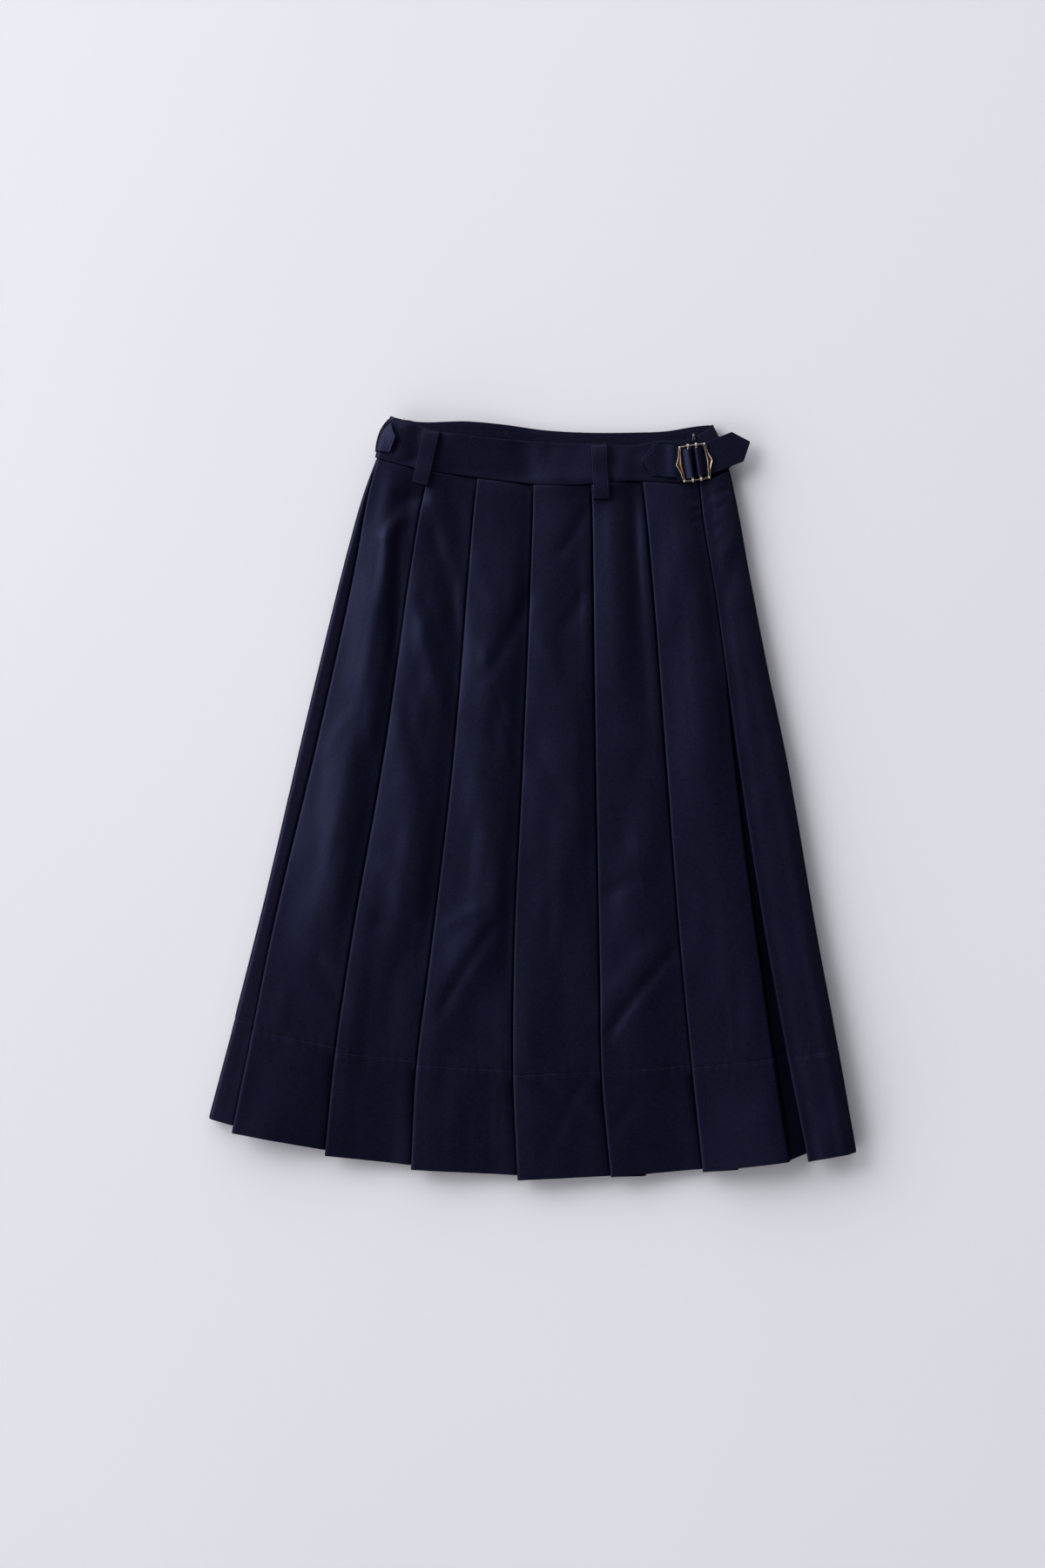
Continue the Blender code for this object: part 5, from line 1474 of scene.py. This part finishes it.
def torus(middle, axes, radius, wire, around=28, section_count=10):
    """A ring of wire; axes are its own axis and two across it."""
    axis, first, second = (np.array(v, float) for v in axes)
    a = np.linspace(0, 2 * math.pi, around, endpoint=False)[:, None, None]
    b = np.linspace(0, 2 * math.pi, section_count, endpoint=False)[None, :, None]
    rim = (radius + wire * np.cos(b)) * (np.cos(a) * first + np.sin(a) * second)
    points = (rim + wire * np.sin(b) * axis).reshape(-1, 3)
    return np.array(middle, float) + points, grid_faces(around, section_count), 1.0


def stack_faces(rows, around):
    """Faces of a stack of rings, with strips of quads over its two ends."""
    index = np.arange(rows * around).reshape(rows, around)
    right = np.roll(index, -1, 1)
    faces = np.stack([index[:-1], right[:-1], right[1:], index[1:]], axis=-1).reshape(-1, 4).tolist()
    for row, flip in ((index[0], True), (index[-1], False)):
        for i in range(1, around // 2):
            quad = [row[i - 1], row[i], row[-i - 1], row[-i]]
            faces.append(quad[::-1] if flip else quad)
    return np.array(faces)


ROUND_END = ((0.45, 0.9), (0.85, 0.55), (1.0, 0.06))   # out from the end and radius, as shares


def tube(path, radius, section_count=12):
    """A closed rod along a path with round ends; radius is one number or one for each point."""
    path = np.asarray(path, float)
    run = np.gradient(path, axis=0)
    run /= np.linalg.norm(run, axis=1)[:, None]
    guide = np.array([0.0, 0.0, 1.0]) if abs(run[0][2]) < 0.9 else np.array([1.0, 0.0, 0.0])
    first = np.cross(run, guide)
    first /= np.linalg.norm(first, axis=1)[:, None]
    second = np.cross(run, first)
    radii = np.broadcast_to(np.asarray(radius, float), len(path))

    def end_rings(end, away):
        return [(path[end] + away * run[end] * radii[end] * far, radii[end] * near, first[end], second[end])
                for far, near in ROUND_END]

    stack = end_rings(0, -1)[::-1] + list(zip(path, radii, first, second)) + end_rings(-1, 1)
    angles = np.linspace(0, 2 * math.pi, section_count, endpoint=False)
    points = [middle + r * (math.cos(a) * e1 + math.sin(a) * e2)
              for middle, r, e1, e2 in stack for a in angles]
    return np.array(points), stack_faces(len(stack), section_count), 1.0


BEAD_PLACE = (13.0, 17.6)
BEAD_SHAPE = ((-0.5, 0.9), (0.0, 1.35), (0.5, 0.9))    # along the rail and radius
RAIL_WIDTH, WING_WIDTH = 2.0, 4.0                      # a rail is a plain rod, a wing is dished
RING_PAIR = (-0.55, 0.55)


def dished_frame(at):
    """The buckle's frame as one part: its outline swept through the dish."""
    outer, inner = resampled(quartered(FRAME_OUTER), 7), resampled(quartered(FRAME_INNER), 7)
    low = BAR_HEIGHT - FRAME_WALL / 2
    width = np.linalg.norm(outer - inner, axis=1)
    dish = np.clip((width - RAIL_WIDTH) / (WING_WIDTH - RAIL_WIDTH), 0, 1)
    rows, rubbed = [], []
    for across, height, worn in DISH:
        line = inner + (outer - inner) * across
        round_rod = 1.05 * math.sqrt(max(1 - (2 * across - 1) ** 2, 0.0))
        flat = height if height < 0.2 else round_rod * 0.75 + 0.3
        rows.append(at(line[:, 0], line[:, 1], low + FRAME_WALL * (dish * height + (1 - dish) * flat)))
        rubbed.append(np.where(dish > 0.5, worn, np.maximum(worn * 0.8, 0.35)))
    return np.array(rows).reshape(-1, 3), grid_faces(len(rows), len(outer)), np.array(rubbed).ravel()


def make_buckle(side, place):
    origin = np.array(place(0, 0, 0))
    ex, ey, ez = (np.array(place(*step)) - origin for step in ((1, 0, 0), (0, 1, 0), (0, 0, 1)))

    def at(u, v, h):
        u, v, h = (np.asarray(c, float)[..., None] for c in (u, v, h))
        return origin + u * ex + v * ey + h * ez

    parts = [dished_frame(at)]
    for u in (BEAD_PLACE[0], -BEAD_PLACE[0]):
        for v in (BEAD_PLACE[1], -BEAD_PLACE[1]):
            bead = [at(u, v + along_rail, BAR_HEIGHT + 0.1) for along_rail, _ in BEAD_SHAPE]
            parts.append(tube(bead, [radius for _, radius in BEAD_SHAPE]))
    metal_piece(f"{side}_buckle", parts, ANTIQUE, [f"buckle_{side}_frame"])
    for number, u in ((1, -BAR_SPREAD), (2, BAR_SPREAD)):
        rod = tube([at(u, v, BAR_HEIGHT) for v in np.linspace(-BAR_END, BAR_END, 12)], BAR_RADIUS)
        rings = [torus(at(u + aside, v, BAR_HEIGHT), (ex, ey, ez), RING_RADIUS, RING_WIRE)
                 for v in (-RAIL, RAIL) for aside in RING_PAIR]
        metal_piece(f"{side}_buckle_bar_{number}", [rod] + rings, ANTIQUE, [f"buckle_{side}_bar_{number}"])


def make_adjusters():
    place, *stations = right_adjuster()
    make_adjuster("right", stations, RIGHT_TAB_POINT, (31.5, 40.0))
    make_buckle("right", place)
    place, *stations = left_adjuster()
    make_adjuster("left", stations, LEFT_TAB_POINT, (22.0, 34.0), follow_outline)
    make_buckle("left", place)


# ---- zip ----

TAPE_HALF = 9.0
TAPE_DEPTH = 4.3
TAPE_WALL = 1.0
TAPE_RIM = 0.4
ZIP_TOP = -0.9
TEETH_HALF = 0.7       # from the zip's middle to each row of teeth
SLIDER = (3.0, 9.0, 3.9)
SLIDER_Y = 372.6
SLIDER_ASIDE = -0.1    # from the zip's line
SLIDER_RISE = 0.3
SLIDER_OUTLINE = ((1.0, 0.55), (0.75, 1.0), (-0.75, 1.0), (-1.0, 0.55), (-0.6, -1.0), (0.6, -1.0))
SLIDER_LEVELS = (
    # share of its height, size of the outline there: two plates and the neck between them
    (0.0, 0.7), (0.04, 0.9), (0.14, 1.0), (0.4, 1.0), (0.46, 0.82),
    (0.56, 0.82), (0.62, 1.0), (0.86, 1.0), (0.96, 0.9), (1.0, 0.7),
)
PIN_PLACE = (1.8, 0.95)                # from the slider's middle towards the waist, and above its top
BAIL = (1.7, 1.9, 0.36)                # half its length, its height and the radius of its wire
# Right halves of the pull's outline and of its slot, from the pin
PULL_OUTER = ((1.5, 0.4), (1.5, -2.9), (1.9, -3.7), (1.9, -5.4), (1.2, -6.0))
PULL_INNER = ((0.8, -0.4), (0.8, -1.0), (0.8, -1.7), (0.8, -2.35), (0.5, -2.65))
PULL_SECTION = (
    # across from its slot, height off the middle
    (0.0, -0.25), (0.0, 0.25), (0.15, 0.4), (0.5, 0.42), (0.85, 0.4),
    (1.0, 0.25), (1.0, -0.25), (0.85, -0.4), (0.5, -0.42), (0.15, -0.4),
)


def zip_line(shares, across, depth):
    """Points along the zip, across its middle and at a depth under the front."""
    rows = []
    for share in shares:
        here = ring(share)
        x = zip_x(share) if share < 0 else along(FOLD_SHARES, FRONT_FOLDS[ZIP_FOLD][0], share)
        s = here.at_front(x)
        seam_y = here.edge(s, FRONT_SEAM, BACK_SEAM)
        end_y = FRONT_FOLDS[ZIP_FOLD][1]
        reach = here.edge(s, FRONT_TOP, BACK_TOP) - seam_y if share < 0 else seam_y - end_y
        px, pz, out_x, out_z, front = here.base(s + across).T
        y = np.full_like(px, seam_y - reach * share)
        level = depth - front ** 4 * relief(px, y)
        rows.append(np.stack([px - out_x * level, y, pz - out_z * level], axis=-1))
    return np.array(rows)


def make_zip_tape():
    shares = np.concatenate([np.linspace(ZIP_TOP, 0, 14), np.linspace(0.01, ZIP_END - 0.01, 50)])
    across = spread(8, 2 * TAPE_HALF, TAPE_RIM) - TAPE_HALF
    grid = zip_line(shares, across, TAPE_DEPTH + TAPE_WALL / 2)
    half = np.broadcast_to(rounded(TAPE_HALF - np.abs(across), TAPE_RIM, TAPE_WALL * 0.7), grid.shape[:2])
    down = np.concatenate([[0], np.cumsum(np.linalg.norm(np.diff(grid[:, 0], axis=0), axis=1))])
    grain = np.stack(np.meshgrid(across, down), axis=-1)
    tape = put_on(sheet_mesh("zip_tape_cloth", grid, half, grain, TAPE), ["zip_tape"])
    lines = [zip_line(shares[2:], np.array([way * TEETH_HALF]), TAPE_DEPTH + 0.05)[:, 0] for way in (-1, 1)]
    teeth = stitch_lines("zip_teeth", lines, TOOTH)
    teeth.data.materials.clear()
    teeth.data.materials.append(ZIP_METAL)


def make_slider(x, top):
    """The slider's body, two plates on a neck, and the wire bail that holds the pull."""
    width, length, height = SLIDER
    outline = resampled(np.array(SLIDER_OUTLINE), 5)
    points = [(x + u * width / 2 * size, SLIDER_Y + v * length / 2 * (0.9 + 0.1 * size),
               top - height + height * level) for level, size in SLIDER_LEVELS for u, v in outline]
    body = (np.array(points), stack_faces(len(SLIDER_LEVELS), len(outline)), 1.0)
    pin = np.array((x, SLIDER_Y + PIN_PLACE[0], top + PIN_PLACE[1]))
    half, rise, wire = BAIL
    bail = [pin + (0, half * math.cos(a), rise * math.sin(a) ** 0.8 - PIN_PLACE[1])
            for a in np.linspace(0.0, math.pi, 17)]
    metal_piece("zip_slider_body", [body, tube(bail, wire)], ZIP_METAL, ["zip_slider"])
    return pin


def make_pull(pin):
    """The pull, a flat plate with a slot that the pin goes through."""
    outer, inner = (resampled(np.array(side + tuple((-u, v) for u, v in side[::-1])), 4)
                    for side in (PULL_OUTER, PULL_INNER))
    rows = [[pin + (u, v, level) for u, v in inner + (outer - inner) * across]
            for across, level in PULL_SECTION]
    plate = (np.array(rows).reshape(-1, 3), grid_faces(len(rows), len(outer)), 1.0)
    metal_piece("zip_pull_tab", [plate], ZIP_METAL, ["zip_pull"], "pull_tab")


def make_zip():
    make_zip_tape()
    x = zip_x(ZIP_TOP)
    pin = make_slider(x + SLIDER_ASIDE, float(ring(ZIP_TOP).height(x)) + SLIDER_RISE)
    make_pull(pin)


# ---- room, light and camera ----

FLOOR_SIDE = 20000.0
FLOOR_LEVEL = -0.4


def make_floor():
    """Painted board: matt and pale, with a faint unevenness."""
    look, tree, shader = new_look("matt_painted_board")
    cloud = noise(tree, place_on(tree, "Object"), 1.4, 2.0)
    set_up(tree, shader, {"Base Color": shade_between(tree, cloud, "e3e4ea", "e8e9ef")},
           in_Roughness=0.9, in_Specular_IOR_Level=0.2)
    side, low = FLOOR_SIDE, FLOOR_LEVEL
    corners = [(-side, -side, low), (side, -side, low), (side, side, low), (-side, side, low)]
    floor = new_piece("floor", corners, [(0, 1, 2, 3)], look)


CAMERA_PLACE = (-0.009, 0.01395, 2.72)
CAMERA_LENS = 60.0
CAMERA_FILM = 36.0
KEY_PLACE = (-4.2, 2.8, 2.7)
KEY_SIZE = 3.6
KEY_POWER = 200.0
WINDOW_SIDE = (-0.90, 0.44, 0.0)       # the room is bright towards this side and dim across from it
SIDE_RANGE = (-0.7, 0.8)               # from its dimmest to its brightest, along that side
NEAR_WALL = (3.5, 3.5, 3.56, 1.0)
FAR_WALL = (0.16, 0.16, 0.172, 1.0)
NEAR_CEILING = (0.09, 0.09, 0.10, 1.0)
FAR_CEILING = (0.012, 0.012, 0.014, 1.0)
CEILING_START, CEILING_END = 0.4, 0.8  # how high the walls fade into the ceiling


def make_camera():
    data = bpy.data.cameras.new("overhead")
    data.lens, data.sensor_height, data.sensor_fit = CAMERA_LENS, CAMERA_FILM, "VERTICAL"
    camera = bpy.data.objects.new("overhead", data)
    camera.location = CAMERA_PLACE
    bpy.context.scene.collection.objects.link(camera)
    bpy.context.scene.camera = camera


def make_light():
    data = bpy.data.lights.new("window", "AREA")
    data.shape, data.size, data.size_y, data.energy = "RECTANGLE", KEY_SIZE, KEY_SIZE, KEY_POWER
    data.color = (1.0, 0.99, 1.0)
    window = bpy.data.objects.new("window", data)
    window.location = KEY_PLACE
    window.rotation_euler = (-Vector(KEY_PLACE)).to_track_quat("-Z", "Y").to_euler()
    bpy.context.scene.collection.objects.link(window)


def make_room():
    """Walls that dim away from the window, under a darker ceiling."""
    world = bpy.data.worlds.new("pale_room")
    world.use_nodes = True
    tree = world.node_tree
    where = add_node(tree, "ShaderNodeTexCoord").outputs["Generated"]
    split = add_node(tree, "ShaderNodeSeparateXYZ", {"Vector": where})
    fade = remap(tree, split.outputs["Z"], 0.0, 1.0, CEILING_START, CEILING_END)
    facing = add_node(tree, "ShaderNodeVectorMath", {0: where}, operation="DOT_PRODUCT",
                      in_1=WINDOW_SIDE)
    side = remap(tree, facing.outputs["Value"], 0.0, 1.0, *SIDE_RANGE)
    walls, ceiling = (add_node(tree, "ShaderNodeMix", {"Factor": side}, data_type="RGBA", in_A=far,
                               in_B=near).outputs["Result"]
                      for far, near in ((FAR_WALL, NEAR_WALL), (FAR_CEILING, NEAR_CEILING)))
    blend = add_node(tree, "ShaderNodeMix", {"Factor": fade, "A": walls, "B": ceiling}, data_type="RGBA")
    set_up(tree, tree.nodes["Background"], {"Color": blend.outputs["Result"]}, in_Strength=1.0)
    bpy.context.scene.world = world
    bpy.context.scene.view_settings.view_transform = "Standard"


make_camera()
make_light()
make_room()
make_floor()
make_gores()
make_waistband()
make_belt_loops()
make_adjusters()
make_zip()
